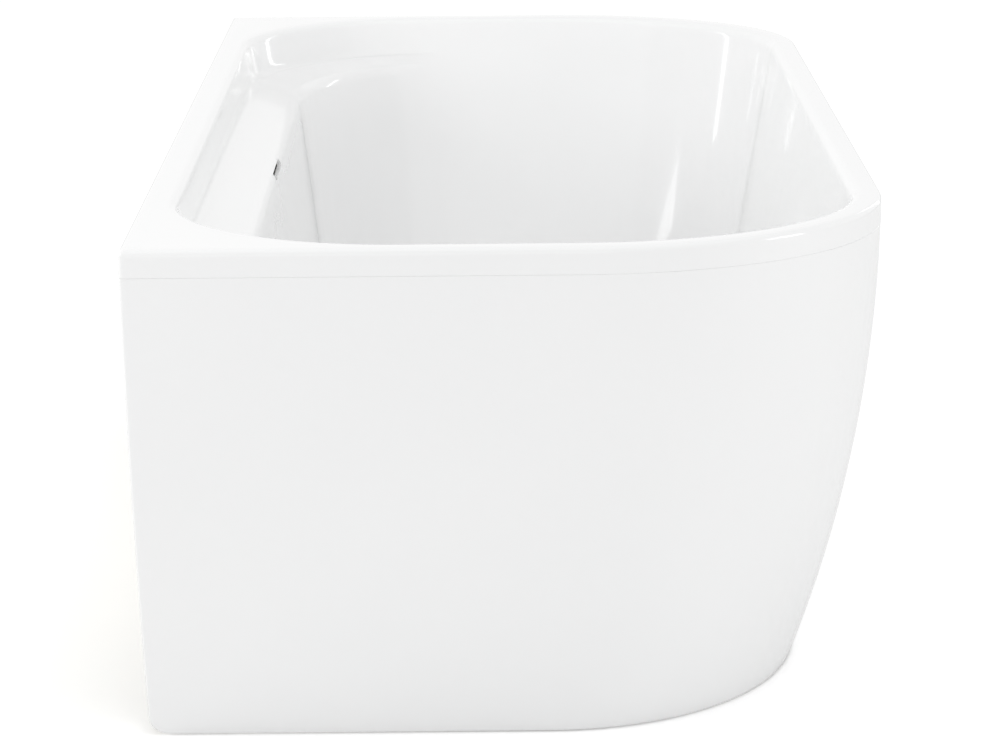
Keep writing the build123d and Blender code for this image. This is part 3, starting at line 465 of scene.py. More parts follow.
def stepped_wall(depth):
    """How far the wall side stands in: step, fold, shelf, rounding, then the well's wall."""
    if depth <= FOLD_START:
        return leaning_wall(depth, STEP_LEAN, WALL_RIM_ROUND, SIDE_FOOT)
    if depth < FOLD_STOP:
        return FOLD_CENTRE[0] - math.sqrt(FOLD_ROUND ** 2 - (depth - FOLD_CENTRE[1]) ** 2)
    if depth < SHELF_START:
        step_in = leaning_wall(STEP_DEPTH, STEP_LEAN, WALL_RIM_ROUND, SIDE_FOOT)
        return step_in + (depth - STEP_DEPTH) / SHELF_SLOPE
    if depth < SHELF_STOP:
        return SHELF_CENTRE[0] + math.sqrt(SHELF_ROUND ** 2 - (SHELF_CENTRE[1] - depth) ** 2)
    return WELL_LINE[0] - WALL_LEAN * WELL_LINE[1] + leaning_wall(depth, WALL_LEAN, 0.0, SIDE_FOOT)


def wall_corner(depth):
    """The radii of the well's corners at the wall side, at one depth."""
    if depth <= STEP_DEPTH:
        return STEP_CORNER
    if depth <= SHELF_START:
        on_shelf = (depth - STEP_DEPTH) / (SHELF_START - STEP_DEPTH)
        return [between(a, b, on_shelf) for a, b in zip(STEP_CORNER, SHELF_CORNER)]
    below = (depth - SHELF_START) / (WELL_DEPTH - SHELF_START)
    return [between(a, b, below) for a, b in zip(SHELF_CORNER, WALL_WELL_CORNER_FLOOR)]


def well_outline(depth):
    """The well's outline at one depth below the rim."""
    share = max(0.0, depth) / WELL_DEPTH
    end = LENGTH / 2 - RIM_WIDTH - leaning_wall(depth, END_LEAN, RIM_ROUND, END_FOOT)
    room = WIDTH / 2 - RIM_WIDTH - leaning_wall(depth, ROOM_LEAN, RIM_ROUND, SIDE_FOOT)
    wall = WIDTH / 2 - WALL_RIM_WIDTH - stepped_wall(depth)
    rx, ry = [between(a, b, share) for a, b in zip(ROOM_WELL_CORNER_TOP, ROOM_WELL_CORNER_FLOOR)]
    wx, wy = wall_corner(depth)
    half = wall_run(end - wx, wall)
    half += quarter((end - wx, wall - wy), (wx, wy), 90, CORNER_STEPS)
    half += spread((end, wall - wy), (end, ry - room), END_STEPS)
    half += quarter((end - rx, ry - room), (rx, ry), 0, CORNER_STEPS)
    half += spread((end - rx, -room), (0.0, -room), ROOM_STEPS) + [(0.0, -room)]
    return mirrored(half, HEIGHT - depth)


def eased(outline, other, share, level):
    """An outline part of the way from one outline to another, at one level."""
    return [(between(a[0], b[0], share), between(a[1], b[1], share), level) for a, b in zip(outline, other)]


def round_waste(radius, level):
    """A circle about the waste, with each point in line with the same point of the floor's outline."""
    points = []
    for x, y, _ in well_outline(WELL_DEPTH):
        away = Vector((x - WASTE[0], y - WASTE[1])).normalized() * radius
        points.append((WASTE[0] + away.x, WASTE[1] + away.y, level))
    return points


def well_rows():
    """The depths of the well's rows: close together on every rounding."""
    rim = [RIM_ROUND * (1 - math.cos(math.radians(angle))) for angle in (12, 24, 36, 48, 60, 72, 84)]
    step = [0.017, 0.025, 0.033]
    fold = [between(FOLD_START, FOLD_STOP, share) for share in (0.0, 0.35, 0.6, 0.78, 0.9, 0.97, 1.0)]
    shelf = [between(FOLD_STOP, SHELF_START, share) for share in (0.33, 0.66, 1.0)]
    turn = [between(SHELF_START, SHELF_STOP, share) for share in (0.04, 0.12, 0.25, 0.42, 0.62, 0.82, 1.0)]
    slot = [SLOT_DEPTH - SLOT_END, SLOT_DEPTH, SLOT_DEPTH + SLOT_END]
    side = [0.100, 0.135, 0.180, 0.225, 0.270, 0.305]
    foot = [WELL_DEPTH - END_FOOT * (1 - math.sin(math.radians(angle))) for angle in range(27, 91, 7)]
    rows = [depth for depth in rim + step + fold + shelf + turn if depth < slot[0] - 0.001]
    return rows + slot + side + foot + [WELL_DEPTH]


def cut_slot(piece):
    """Cuts the overflow slot out of the wall side and rounds its ends."""
    grid = bmesh.from_edit_mesh(piece.data)
    level = HEIGHT - SLOT_DEPTH
    for face in grid.faces:
        middle = face.calc_center_median()
        in_slot = abs(middle.x) < SLOT_HALF_LENGTH and abs(middle.z - level) < SLOT_END
        face.select = in_slot and middle.y > 0
    bmesh.update_edit_mesh(piece.data)
    bpy.ops.mesh.delete(type="FACE")
    grid = bmesh.from_edit_mesh(piece.data)
    inner = SLOT_HALF_LENGTH - SLOT_END
    for edge in grid.edges:
        middle = (edge.verts[0].co + edge.verts[1].co) / 2
        at_end = inner < abs(middle.x) < SLOT_HALF_LENGTH + 0.001 and abs(middle.z - level) < SLOT_END + 0.001
        edge.select = at_end and edge.is_boundary and middle.y > 0
    bpy.ops.mesh.subdivide(number_cuts=2)
    grid = bmesh.from_edit_mesh(piece.data)
    for point in grid.verts:
        past = abs(point.co.x) - inner
        near_slot = point.co.y > 0 and abs(point.co.z - level) < SLOT_END + 0.001
        if point.is_boundary and past > 0.0001 and near_slot:
            side = math.copysign(1.0, point.co.x)
            away = Vector((past, point.co.z - level)).normalized() * SLOT_END
            depth = SLOT_DEPTH - away.y
            wall = WIDTH / 2 - WALL_RIM_WIDTH - stepped_wall(depth)
            point.co = (side * (inner + away.x), wall, HEIGHT - depth)
    bmesh.update_edit_mesh(piece.data)


def make_inner_shell():
    """The shell as one sheet from the lip's bottom edge to the waste hole, then given its thickness."""
    lip_low = HEIGHT - LIP_HEIGHT
    shell = start_row("bath_shell", rim_outline(0.0, lip_low))
    pull(shell, rim_outline(0.0, lip_low + 0.002), rim_outline(0.0, HEIGHT - LIP_ROUND - 0.002))
    for angle in range(0, 91, 15):
        inset = LIP_ROUND * (1 - math.cos(math.radians(angle)))
        pull(shell, rim_outline(inset, HEIGHT - LIP_ROUND * (1 - math.sin(math.radians(angle)))))
    edge = well_outline(0.0)
    rim = rim_outline(LIP_ROUND, HEIGHT)
    pull(shell, eased(rim, edge, 0.15, HEIGHT), eased(rim, edge, 0.9, HEIGHT), edge)
    for depth in well_rows():
        pull(shell, well_outline(depth))
    floor = HEIGHT - WELL_DEPTH
    outline = well_outline(WELL_DEPTH)
    circle = round_waste(RECESS_RADIUS + 0.003, floor)
    for share in (0.06, 0.3, 0.6, 0.85, 1.0):
        pull(shell, eased(outline, circle, share, floor))
    low = floor - RECESS_DEPTH
    pull(shell, round_waste(RECESS_RADIUS + 0.0008, floor), round_waste(RECESS_RADIUS, floor - 0.0006))
    pull(shell, round_waste(RECESS_RADIUS - 0.0004, low + 0.001), round_waste(RECESS_RADIUS - 0.0013, low))
    pull(shell, round_waste(WASTE_HOLE, low))
    cut_slot(shell)
    outward(shell)
    face_up(shell, (0.0, 0.0, -1.0))
    lined(shell, WALL_THICKNESS)
    finished(shell, ["inner_shell"], "bath")


make_inner_shell()


# Outer skirt: one sheet of the same acrylic, drawn in towards the floor on three sides. Its top edge steps
# in behind the lip, its wall side has a return flange at each end, and its back is glass-fibre laminate.

SKIRT_GAP = 0.002
SEAM = 0.0005
SKIRT_WALL = 0.006
JOGGLE_INSET = 0.0068
JOGGLE_HEIGHT = 0.020
FLANGE_WIDTH = 0.042
BOTTOM_CORNER = 0.020
WALL_EDGE_ROUND = 0.004
FLANGE_STEPS = 4
EDGE_STEPS = 4
CORNER_ZONE_STEPS = 5
SKIRT_ROWS = 24


def skirt_row(depth, inset=0.0, level=None):
    """One open row of the skirt: return flange, end, room side, other end, return flange."""
    end, room, wall, (rx, ry) = body_sizes(depth, inset)
    level = HEIGHT - depth if level is None else level
    flange = LENGTH / 2 - FLANGE_WIDTH - END_DRAW_IN * depth / HEIGHT
    bend = WALL_EDGE_ROUND
    zone = wall - bend - BOTTOM_CORNER
    half = spread((flange, wall), (end - bend, wall), FLANGE_STEPS)
    half += quarter((end - bend, wall - bend), (bend, bend), 90, EDGE_STEPS)
    half += spread((end, wall - bend), (end, zone), CORNER_ZONE_STEPS)
    half += spread((end, zone), (end, ry - room), END_STEPS * 3)
    half += quarter((end - rx, ry - room), (rx, ry), 0, CORNER_STEPS)
    half += spread((end - rx, -room), (0.0, -room), ROOM_STEPS) + [(0.0, -room)]
    whole = half + [(-x, y) for x, y in reversed(half[:-1])]
    # The bottom edge is round at the wall.
    start = WIDTH / 2 - WALL_DRAFT - BOTTOM_CORNER
    points = []
    for x, y in whole:
        over = min(BOTTOM_CORNER, max(0.0, y - start))
        lowest = SKIRT_GAP + BOTTOM_CORNER - math.sqrt(BOTTOM_CORNER ** 2 - over ** 2)
        points.append((x, y, max(level, lowest)))
    return points


def make_outer_skirt():
    """The skirt's outside as one open sheet, then given its thickness."""
    top = HEIGHT - LIP_HEIGHT - SEAM
    depth_top = HEIGHT - top
    depth_low = HEIGHT - SKIRT_GAP
    skirt = start_row("bath_skirt", skirt_row(LIP_HEIGHT, JOGGLE_INSET, top + JOGGLE_HEIGHT), closed=False)
    pull(skirt, skirt_row(LIP_HEIGHT, JOGGLE_INSET, top + 0.001))
    pull(skirt, skirt_row(LIP_HEIGHT, JOGGLE_INSET - 0.001, top))
    pull(skirt, skirt_row(depth_top, 0.0004, top), skirt_row(depth_top + 0.0004))
    for row in range(1, SKIRT_ROWS + 1):
        pull(skirt, skirt_row(between(depth_top, depth_low - BOTTOM_CORNER, row / SKIRT_ROWS)))
    for share in (0.25, 0.5, 0.75, 0.9, 1.0):
        pull(skirt, skirt_row(between(depth_low - BOTTOM_CORNER, depth_low, share)))
    outward(skirt)
    face_up(skirt, (0.0, 0.0, HEIGHT / 2))
    lined(skirt, SKIRT_WALL)
    finished(skirt, ["outer_skirt"], "bath")


make_outer_skirt()


# Seam bond: white adhesive squeezed between the lip and the skirt's joggled edge, wiped off flush in the
# narrow joint below the lip, so that skirt and rim look like one piece.

BEAD_FACE = 0.00012
BEAD_BACK = 0.0064
BEAD_TOP = 0.018


def adhesive_finish():
    """Wiped white adhesive, slightly duller than the acrylic."""
    finish, shader, place = new_finish("joint_adhesive")
    wiped = noise(stretched(place, (12.0, 12.0, 90.0)), 6.0)
    feed(shader, {
        "Base Color": blended(wiped, rgb(0.895, 0.9, 0.9), rgb(0.92, 0.922, 0.92)),
        "Roughness": 0.16 + 0.12 * wiped,
        "Normal": bumped(wiped, 0.1, 0.0004),
        "Coat Weight": 0.5,
        "Coat Roughness": 0.08,
    })
    return finish


ADHESIVE = adhesive_finish()


def close_ends(piece):
    """Fills every open edge loop of a piece with a face."""
    grid = bmesh.from_edit_mesh(piece.data)
    for edge in grid.edges:
        edge.select = edge.is_boundary
    bmesh.update_edit_mesh(piece.data)
    bpy.ops.mesh.edge_face_add()


def make_seam_bond():
    """The bead: its section runs round three sides of the bath, from one return flange to the other."""
    lip_low = HEIGHT - LIP_HEIGHT
    low = lip_low - SEAM + 0.00002
    gap_top = lip_low - 0.00002
    joggle = JOGGLE_INSET - 0.00005
    section = [
        (BEAD_FACE, low), (BEAD_FACE, gap_top), (BEAD_BACK, gap_top), (BEAD_BACK, lip_low + BEAD_TOP),
        (joggle, lip_low + BEAD_TOP), (joggle, low),
    ]
    rows = [skirt_row(LIP_HEIGHT, inset, level) for inset, level in section]
    bead = start_row("seam_bead", rows[0], closed=False)
    pull(bead, *rows[1:], rows[0])
    bpy.ops.mesh.select_all(action="SELECT")
    bpy.ops.mesh.remove_doubles(threshold=0.00001)
    bpy.ops.mesh.select_all(action="DESELECT")
    close_ends(bead)
    outward(bead)
    smooth(bead, 40.0)
    finished(bead, ["seam_bond"], "bath", ADHESIVE)


make_seam_bond()


# Wall batten: planed softwood under the wall rim, bonded behind the lip. It takes the weight of the rim
# where nothing else carries it, and its corners are eased.

TIMBER_EDGE = 0.0015


def timber_finish(name, along, light, dark):
    """Planed softwood: growth rings stretched along the grain, with darker late wood and fine pores."""
    finish, shader, place = new_finish(name)
    across = [62.0, 62.0, 62.0]
    across[along] = 2.2
    rings = noise(stretched(place, across), 1.0, 2.0, 0.5, 0.9)
    pores = noise(stretched(place, [value * 6.0 for value in across]), 1.0, 3.0, 0.6)
    wave = place.node("ShaderNodeMath", {"operation": "FRACT"}, {0: rings * 8.0})
    tone = blended(ramp(wave, 0.1, 0.95), rgb(*light), rgb(*dark))
    feed(shader, {
        "Base Color": blended(0.35 * pores, tone, rgb(*[value * 0.7 for value in dark])),
        "Roughness": 0.55 + 0.25 * pores,
        "Normal": bumped(pores + 0.4 * wave, 0.25, 0.0006),
    })
    return finish


BATTEN_WOOD = timber_finish("batten_softwood", 0, (0.66, 0.50, 0.32), (0.52, 0.35, 0.19))


def box_piece(name, low, high, edge, steps=2):
    """A box from corner to corner, with all its edges rounded."""
    deselect()
    size = [b - a for a, b in zip(low, high)]
    middle = [(a + b) / 2 for a, b in zip(low, high)]
    bpy.ops.mesh.primitive_cube_add(size=1, location=middle, scale=size)
    bpy.ops.object.transform_apply(location=True, rotation=True, scale=True)
    piece = bpy.context.object
    piece.name = name
    bpy.ops.object.mode_set(mode="EDIT")
    bpy.ops.mesh.select_all(action="SELECT")
    bpy.ops.mesh.bevel(offset=edge, segments=steps, affect="EDGES")
    bpy.ops.object.mode_set(mode="OBJECT")
    return piece


def make_wall_batten():
    """The batten: one length, as long as the wall rim leaves room for."""
    low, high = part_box("wall_batten")
    batten = box_piece("rim_batten", low, high, TIMBER_EDGE)
    smooth(batten)
    finished(batten, ["wall_batten"], "bath", BATTEN_WOOD)


make_wall_batten()


# Base board: chipboard bonded under the well's floor with resin, notched round the waste and rounded at its
# corners. It spreads the load of the legs and the centre foot.

BOARD_EDGE = 0.0008


def chipboard_finish():
    """Sanded chipboard: pale and dark chips pressed flat, with a little resin on top."""
    finish, shader, place = new_finish("base_chipboard")
    warped = stretched(place, (1.0, 1.6, 2.2))
    cells = {"Vector": warped, "Scale": 210.0, "Randomness": 1.0}
    chips = place.node("ShaderNodeTexVoronoi", {"feature": "F1"}, cells, "Color")
    tone = place.node("ShaderNodeSeparateColor", {}, {"Color": chips})
    patches = noise(place, 30.0, 4.0)
    colour = blended(ramp(tone, 0.1, 0.9), rgb(0.62, 0.48, 0.31), rgb(0.42, 0.29, 0.16))
    feed(shader, {
        "Base Color": blended(0.5 * patches, colour, rgb(0.70, 0.58, 0.40)),
        "Roughness": 0.5 + 0.3 * patches,
        "Normal": bumped(tone, 0.2, 0.0005),
    })
    return finish


CHIPBOARD = chipboard_finish()


def eased_copy(name, node, edge, steps=2, angle=35.0):
    """A copy of a construction piece: points merged, flat faces joined, sharp edges rounded."""
    deselect()
    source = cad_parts[node]
    piece = bpy.data.objects.new(name, source.data.copy())
    bpy.context.scene.collection.objects.link(piece)
    piece.select_set(True)
    bpy.context.view_layer.objects.active = piece
    bpy.ops.object.mode_set(mode="EDIT")
    bpy.ops.mesh.select_all(action="SELECT")
    bpy.ops.mesh.remove_doubles(threshold=0.000002)
    bpy.ops.mesh.normals_make_consistent(inside=False)
    bpy.ops.mesh.dissolve_limited(angle_limit=math.radians(1.0))
    bpy.ops.object.mode_set(mode="OBJECT")
    if edge:
        modify(piece, "BEVEL", width=edge, segments=steps, limit_method="ANGLE",
               angle_limit=math.radians(angle), use_clamp_overlap=True)
    smooth(piece, 40.0)
    return piece


board = eased_copy("base_chipboard", "base_board", BOARD_EDGE)
finished(board, ["base_board"], "bath", CHIPBOARD)


# Legs and posts: zinc-plated square steel tube, 30 mm across under the board and 20 mm up to the batten.
# They are cut to length, with rounded corners from the tube mill and open ends.

TUBE_WALL = 0.0015
TUBE_CORNER = 0.003


def zinc_finish(name, tint, grain_axis):
    """Bright zinc plate on drawn steel: faint spangle, fine lines along the piece, some dull patches."""
    finish, shader, place = new_finish(name)
    across = [900.0, 900.0, 900.0]
    across[grain_axis] = 14.0
    lines = noise(stretched(place, across), 1.0, 2.0)
    cells = {"Vector": place, "Scale": 75.0, "Randomness": 1.0}
    spangle = place.node("ShaderNodeTexVoronoi", {"feature": "SMOOTH_F1"}, cells)
    dull = noise(place, 11.0, 4.0)
    light = [min(1.0, value * 1.16) for value in tint]
    feed(shader, {
        "Base Color": blended(ramp(dull, 0.3, 0.7), rgb(*tint), rgb(*light)),
        "Metallic": 1.0,
        "Roughness": 0.26 + 0.2 * dull + 0.06 * lines,
        "Normal": bumped(lines + 0.5 * spangle, 0.12, 0.0003),
    })
    return finish


ZINC_TUBE = zinc_finish("zinc_tube", (0.60, 0.62, 0.64), 1)
ZINC_POST = zinc_finish("zinc_post", (0.60, 0.62, 0.64), 2)


def tube_piece(name, low, high, axis):
    """A square tube that fills a box, open at both ends along an axis."""
    deselect()
    size = [b - a for a, b in zip(low, high)]
    middle = [(a + b) / 2 for a, b in zip(low, high)]
    bpy.ops.mesh.primitive_cube_add(size=1, location=middle, scale=size)
    bpy.ops.object.transform_apply(location=True, rotation=True, scale=True)
    tube = bpy.context.object
    tube.name = name
    bpy.ops.object.mode_set(mode="EDIT")
    grid = bmesh.from_edit_mesh(tube.data)
    for face in grid.faces:
        face.select = abs(face.normal[axis]) > 0.5
    bmesh.update_edit_mesh(tube.data)
    bpy.ops.mesh.delete(type="ONLY_FACE")
    grid = bmesh.from_edit_mesh(tube.data)
    for edge in grid.edges:
        way = (edge.verts[0].co - edge.verts[1].co).normalized()
        edge.select = abs(way[axis]) > 0.5
    bpy.ops.mesh.bevel(offset=TUBE_CORNER, segments=4, affect="EDGES")
    bpy.ops.object.mode_set(mode="OBJECT")
    modify(tube, "SOLIDIFY", thickness=TUBE_WALL, offset=-1.0, use_even_offset=True)
    modify(tube, "BEVEL", width=0.0002, segments=1, limit_method="ANGLE", angle_limit=math.radians(60.0))
    smooth(tube)
    return tube


for side in ("near", "far"):
    leg = tube_piece("leg_tube_" + side, *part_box("leg_bar_" + side), 1)
    finished(leg, ["leg_bar_" + side], "bath", ZINC_TUBE)
    post = tube_piece("wall_post_tube_" + side, *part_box("wall_post_" + side), 2)
    finished(post, ["wall_post_" + side], "bath", ZINC_POST)


# Stays and brackets: 3 mm flat steel, bent cold and zinc-plated. They tie the legs to the wooden blocks
# inside the skirt and keep it from spreading.

STEEL = 0.003
BEND = 0.004
STRIP_EDGE = 0.0004
BEND_STEPS = 4


def strip_section(centre, normal, across, width, thickness):
    """A flat bar's outline about a point: a rectangle with its corners taken off."""
    points = []
    for u, v in ((-1, -1), (1, -1), (1, 1), (-1, 1)):
        for first in (True, False) if u * v > 0 else (False, True):
            half_u = width / 2 - (0 if first else STRIP_EDGE)
            half_v = thickness / 2 - (STRIP_EDGE if first else 0)
            points.append(tuple(centre + across * (u * half_u) + normal * (v * half_v)))
    return points


def bent_strip(name, corners, across, width, thickness):
    """A flat bar along a bent line in one plane, with a rounding at each bend."""
    corners = [Vector(corner) for corner in corners]
    across = Vector(across)
    stations = [(corners[0], (corners[1] - corners[0]).normalized())]
    for before, corner, after in zip(corners, corners[1:], corners[2:]):
        way_in = (corner - before).normalized()
        way_out = (after - corner).normalized()
        turn = way_in.angle(way_out)
        reach = (BEND + thickness / 2) * math.tan(turn / 2)
        start = corner - way_in * reach
        centre = start + (way_out - way_in * way_in.dot(way_out)).normalized() * (BEND + thickness / 2)
        axis = way_in.cross(way_out).normalized()
        for step in range(BEND_STEPS + 1):
            turned = Matrix.Rotation(turn * step / BEND_STEPS, 3, axis)
            stations.append((centre + turned @ (start - centre), turned @ way_in))
    stations.append((corners[-1], (corners[-1] - corners[-2]).normalized()))
    rows = [strip_section(place, across.cross(way), across, width, thickness) for place, way in stations]
    strip = start_row(name, rows[0])
    bpy.ops.mesh.edge_face_add()
    pull(strip, *rows[1:])
    outward(strip)
    smooth(strip)
    return strip


TIE_ZINC = zinc_finish("zinc_strip", (0.63, 0.65, 0.67), 0)

for side, way in (("near", -1.0), ("far", 1.0)):
    low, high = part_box("end_stay_" + side)
    leg_x, block_x = (low[0], high[0]) if way > 0 else (high[0], low[0])
    middle_y = (low[1] + high[1]) / 2
    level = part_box("leg_bar_" + side)[1][2] - STEEL / 2
    line = [
        (leg_x + way * STEEL / 2, middle_y, low[2]), (leg_x + way * STEEL / 2, middle_y, level),
        (block_x - way * STEEL / 2, middle_y, level), (block_x - way * STEEL / 2, middle_y, high[2]),
    ]
    stay = bent_strip("end_tie_" + side, line, (0, 1, 0), high[1] - low[1], STEEL)
    finished(stay, ["end_stay_" + side], "bath", TIE_ZINC)
    low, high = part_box("room_bracket_" + side)
    middle_x = (low[0] + high[0]) / 2
    line = [
        (middle_x, high[1], low[2] + STEEL / 2), (middle_x, low[1] + STEEL / 2, low[2] + STEEL / 2),
        (middle_x, low[1] + STEEL / 2, high[2]),
    ]
    bracket = bent_strip("room_angle_" + side, line, (1, 0, 0), high[0] - low[0], STEEL)
    finished(bracket, ["room_bracket_" + side], "bath", TIE_ZINC)


# Blocks: softwood offcuts bonded inside the skirt with resin. The stays and brackets are screwed to them,
# so that no screw goes through the skirt.

END_WOOD = timber_finish("end_block_softwood", 1, (0.68, 0.53, 0.34), (0.55, 0.38, 0.22))
ROOM_WOOD = timber_finish("room_block_softwood", 0, (0.68, 0.53, 0.34), (0.55, 0.38, 0.22))

for side in ("near", "far"):
    for place, wood in (("end", END_WOOD), ("room", ROOM_WOOD)):
        node = place + "_block_" + side
        wooden = eased_copy(node + "_wood", node, TIMBER_EDGE)
        finished(wooden, [node], "bath", wood)


# Screws: zinc-plated steel with pan heads and a cross recess, in two sizes, turned in from below, from the
# side and down through the brackets. The shanks are in the wood or the steel.

SCREW_TURNS = 24
RECESS_TOP = 0.62
RECESS_FOOT = 0.38
RECESS_ARM = 0.2
LEG_SCREW = (0.0025, 0.0055, 0.003, 0.039)
PLATE_SCREW = (0.002, 0.0045, 0.0025, 0.014)
WOOD_SCREW = (0.002, 0.0045, 0.003, 0.015)
STEEL_SCREW = (0.002, 0.0045, 0.003, 0.009)
FIXING_PITCH = 0.014
LEG_SCREW_PLACES = (-0.185, -0.060, 0.060, 0.140)
PLATE_SCREW_REACH = (0.030, 0.020)
CENTRE_FOOT = (0.0, -0.150)
BLOCK_SCREW_LEVEL = 0.140
LEG_FIXING_LEVEL = 0.103
BRACKET_SCREW_REACH = 0.035
FINE_MERGE = 0.000004

SCREW_STEEL = zinc_finish("screw_zinc", (0.70, 0.70, 0.66), 2)


def circle_row(radius, level, steps=SCREW_TURNS, centre=(0.0, 0.0)):
    """A level circle as a row of points."""
    angles = [2 * math.pi * step / steps for step in range(steps)]
    return [(centre[0] + radius * math.cos(a), centre[1] + radius * math.sin(a), level) for a in angles]


def cross_row(reach, arm, level):
    """A cross with four arms as a row of points."""
    points = []
    for step in range(SCREW_TURNS):
        angle = 2 * math.pi * step / SCREW_TURNS
        u, v = abs(math.cos(angle)), abs(math.sin(angle))
        radius = reach if min(u, v) < 0.3 else arm * 1.6
        points.append((radius * math.cos(angle), radius * math.sin(angle), level))
    return points


def turned_piece(name, profile, steps=48, centre=(0.0, 0.0), closed=True):
    """A turned piece on an upright axis: its profile as radius and level pairs, joined up or capped."""
    piece = start_row(name, circle_row(*profile[0], steps, centre))
    if not closed:
        bpy.ops.mesh.edge_face_add()
    rest = profile[1:] + profile[:1] if closed else profile[1:]
    pull(piece, *[circle_row(radius, level, steps, centre) for radius, level in rest])
    if not closed:
        bpy.ops.mesh.edge_face_add()
    outward(piece, FINE_MERGE)
    return piece


def model_screw(size):
    """A screw with its seat at the origin and its head above, shank downwards."""
    shank, head, height, reach = size
    screw = start_row("screw", circle_row(shank * 0.2, -reach))
    bpy.ops.mesh.edge_face_add()
    pull(screw, circle_row(shank, -reach + 3 * shank), circle_row(shank, 0.0), circle_row(head, 0.0))
    pull(screw, circle_row(head, height * 0.35), circle_row(head * 0.93, height * 0.7))
    pull(screw, circle_row(head * 0.78, height * 0.93), circle_row(head * 0.68, height))
    pull(screw, cross_row(head * RECESS_TOP, head * RECESS_ARM, height))
    pull(screw, cross_row(head * RECESS_FOOT, head * RECESS_ARM * 0.7, height * 0.35))
    bpy.ops.mesh.edge_face_add()
    outward(screw)
    smooth(screw, 30.0)
    return screw


def aimed(place, way):
    """The move that stands a piece at a place, with its own upright axis along a way."""
    return Matrix.Translation(place) @ Vector(way).to_track_quat("Z", "Y").to_matrix().to_4x4()


def joined(name, made):
    """Several objects joined into one piece."""
    deselect()
    for copy in made:
        copy.select_set(True)
    bpy.context.view_layer.objects.active = made[0]
    if len(made) > 1:
        bpy.ops.object.join()
    made[0].name = name
    return made[0]


def copies_of(model, name, moves):
    """One piece of separate copies of a model, each moved to its place. The model is removed."""
    made = []
    for move in moves:
        copy = model.copy()
        copy.data = model.data.copy()
        copy.data.transform(move)
        bpy.context.scene.collection.objects.link(copy)
        made.append(copy)
    bpy.data.objects.remove(model)
    return joined(name, made)


leg_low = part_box("leg_bar_far")[0][2]
leg_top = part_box("leg_bar_far")[1][2]
leg_x = sum(corner[0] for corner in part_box("leg_bar_far")) / 2
leg_moves = [aimed((side * leg_x, y, leg_low), (0, 0, -1)) for side in (-1, 1) for y in LEG_SCREW_PLACES]
plate_moves = []
reach_x, reach_y = PLATE_SCREW_REACH
for x in (-reach_x, reach_x):
    for y in (-reach_y, reach_y):
        plate_moves.append(aimed((x, CENTRE_FOOT[1] + y, leg_top - STEEL), (0, 0, -1)))
leg_screws = copies_of(model_screw(LEG_SCREW), "leg_screws", leg_moves)
plate_screws = copies_of(model_screw(PLATE_SCREW), "plate_screws", plate_moves)
board_screws = joined("base_board_screws", [leg_screws, plate_screws])
finished(board_screws, ["board_screws"], "bath", SCREW_STEEL)

wood_moves = []
steel_moves = []
for side, way in (("near", -1.0), ("far", 1.0)):
    low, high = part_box("end_stay_" + side)
    stay_y = (low[1] + high[1]) / 2
    leg_face = min(abs(low[0]), abs(high[0])) + STEEL
    block_face = max(abs(low[0]), abs(high[0])) - STEEL
    bracket_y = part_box("room_bracket_" + side)[0][1]
    for offset in (-FIXING_PITCH / 2, FIXING_PITCH / 2):
        wood_moves.append(aimed((way * block_face, stay_y + offset, BLOCK_SCREW_LEVEL), (-way, 0, 0)))
        steel_moves.append(aimed((way * leg_face, stay_y + offset, LEG_FIXING_LEVEL), (way, 0, 0)))
        wood_moves.append(aimed((way * leg_x + offset, bracket_y + STEEL, BLOCK_SCREW_LEVEL), (0, 1, 0)))
    steel_moves.append(aimed((way * leg_x, bracket_y + BRACKET_SCREW_REACH, leg_top + STEEL), (0, 0, 1)))
wood_screws = copies_of(model_screw(WOOD_SCREW), "wood_screws", wood_moves)
steel_screws = copies_of(model_screw(STEEL_SCREW), "steel_screws", steel_moves)
skirt_screws = joined("skirt_fixing_screws", [wood_screws, steel_screws])
finished(skirt_screws, ["skirt_screws"], "bath", SCREW_STEEL)


# Levelling feet: M12 rods with a rolled thread, a hexagon to turn them by, and a black swivel pad. Four
# stand in threaded inserts in the legs and one in a nut welded under the steel plate of the board.

ROD_RADIUS = 0.006
THREAD_PITCH = 0.00175
THREAD_DEPTH = 0.0009
THREAD_TURNS = 20
THREAD_LEVELS = 5
HEXAGON_SIDE_STEPS = 4
HEXAGON_LOW = 0.024
HEXAGON_HIGH = 0.030
HEXAGON_ACROSS = 0.018
NUT_ACROSS = 0.021
NUT_BEVEL = 0.5
BORE_GAP = 0.0001
PAD_TOP = 0.0165
ROD_END = 0.001


def foot_plastic_finish():
    """Black moulded plastic with a fine grain, greyed a little by dust."""
    finish, shader, place = new_finish("black_foot_plastic")
    grain = noise(place, 1400.0, 2.0)
    dust = noise(place, 45.0, 4.0)
    feed(shader, {
        "Base Color": blended(ramp(dust, 0.4, 0.8), rgb(0.035, 0.035, 0.038), rgb(0.075, 0.073, 0.07)),
        "Roughness": 0.42 + 0.3 * dust,
        "Normal": bumped(grain, 0.3, 0.0002),
    })
    return finish


FOOT_PLASTIC = foot_plastic_finish()


def thread_row(centre, level, low, high):
    """One row of a threaded rod: the ridge winds up round it and runs out at both ends."""
    fade = min(1.0, (level - low) / THREAD_PITCH, (high - level) / THREAD_PITCH)
    points = []
    for step in range(THREAD_TURNS):
        share = step / THREAD_TURNS
        phase = (level / THREAD_PITCH - share) % 1.0
        cut = THREAD_DEPTH * min(1.0, 2.4 * abs(phase - 0.5)) * max(0.0, fade)
        radius = ROD_RADIUS - cut
        angle = 2 * math.pi * share
        points.append((centre[0] + radius * math.cos(angle), centre[1] + radius * math.sin(angle), level))
    return points


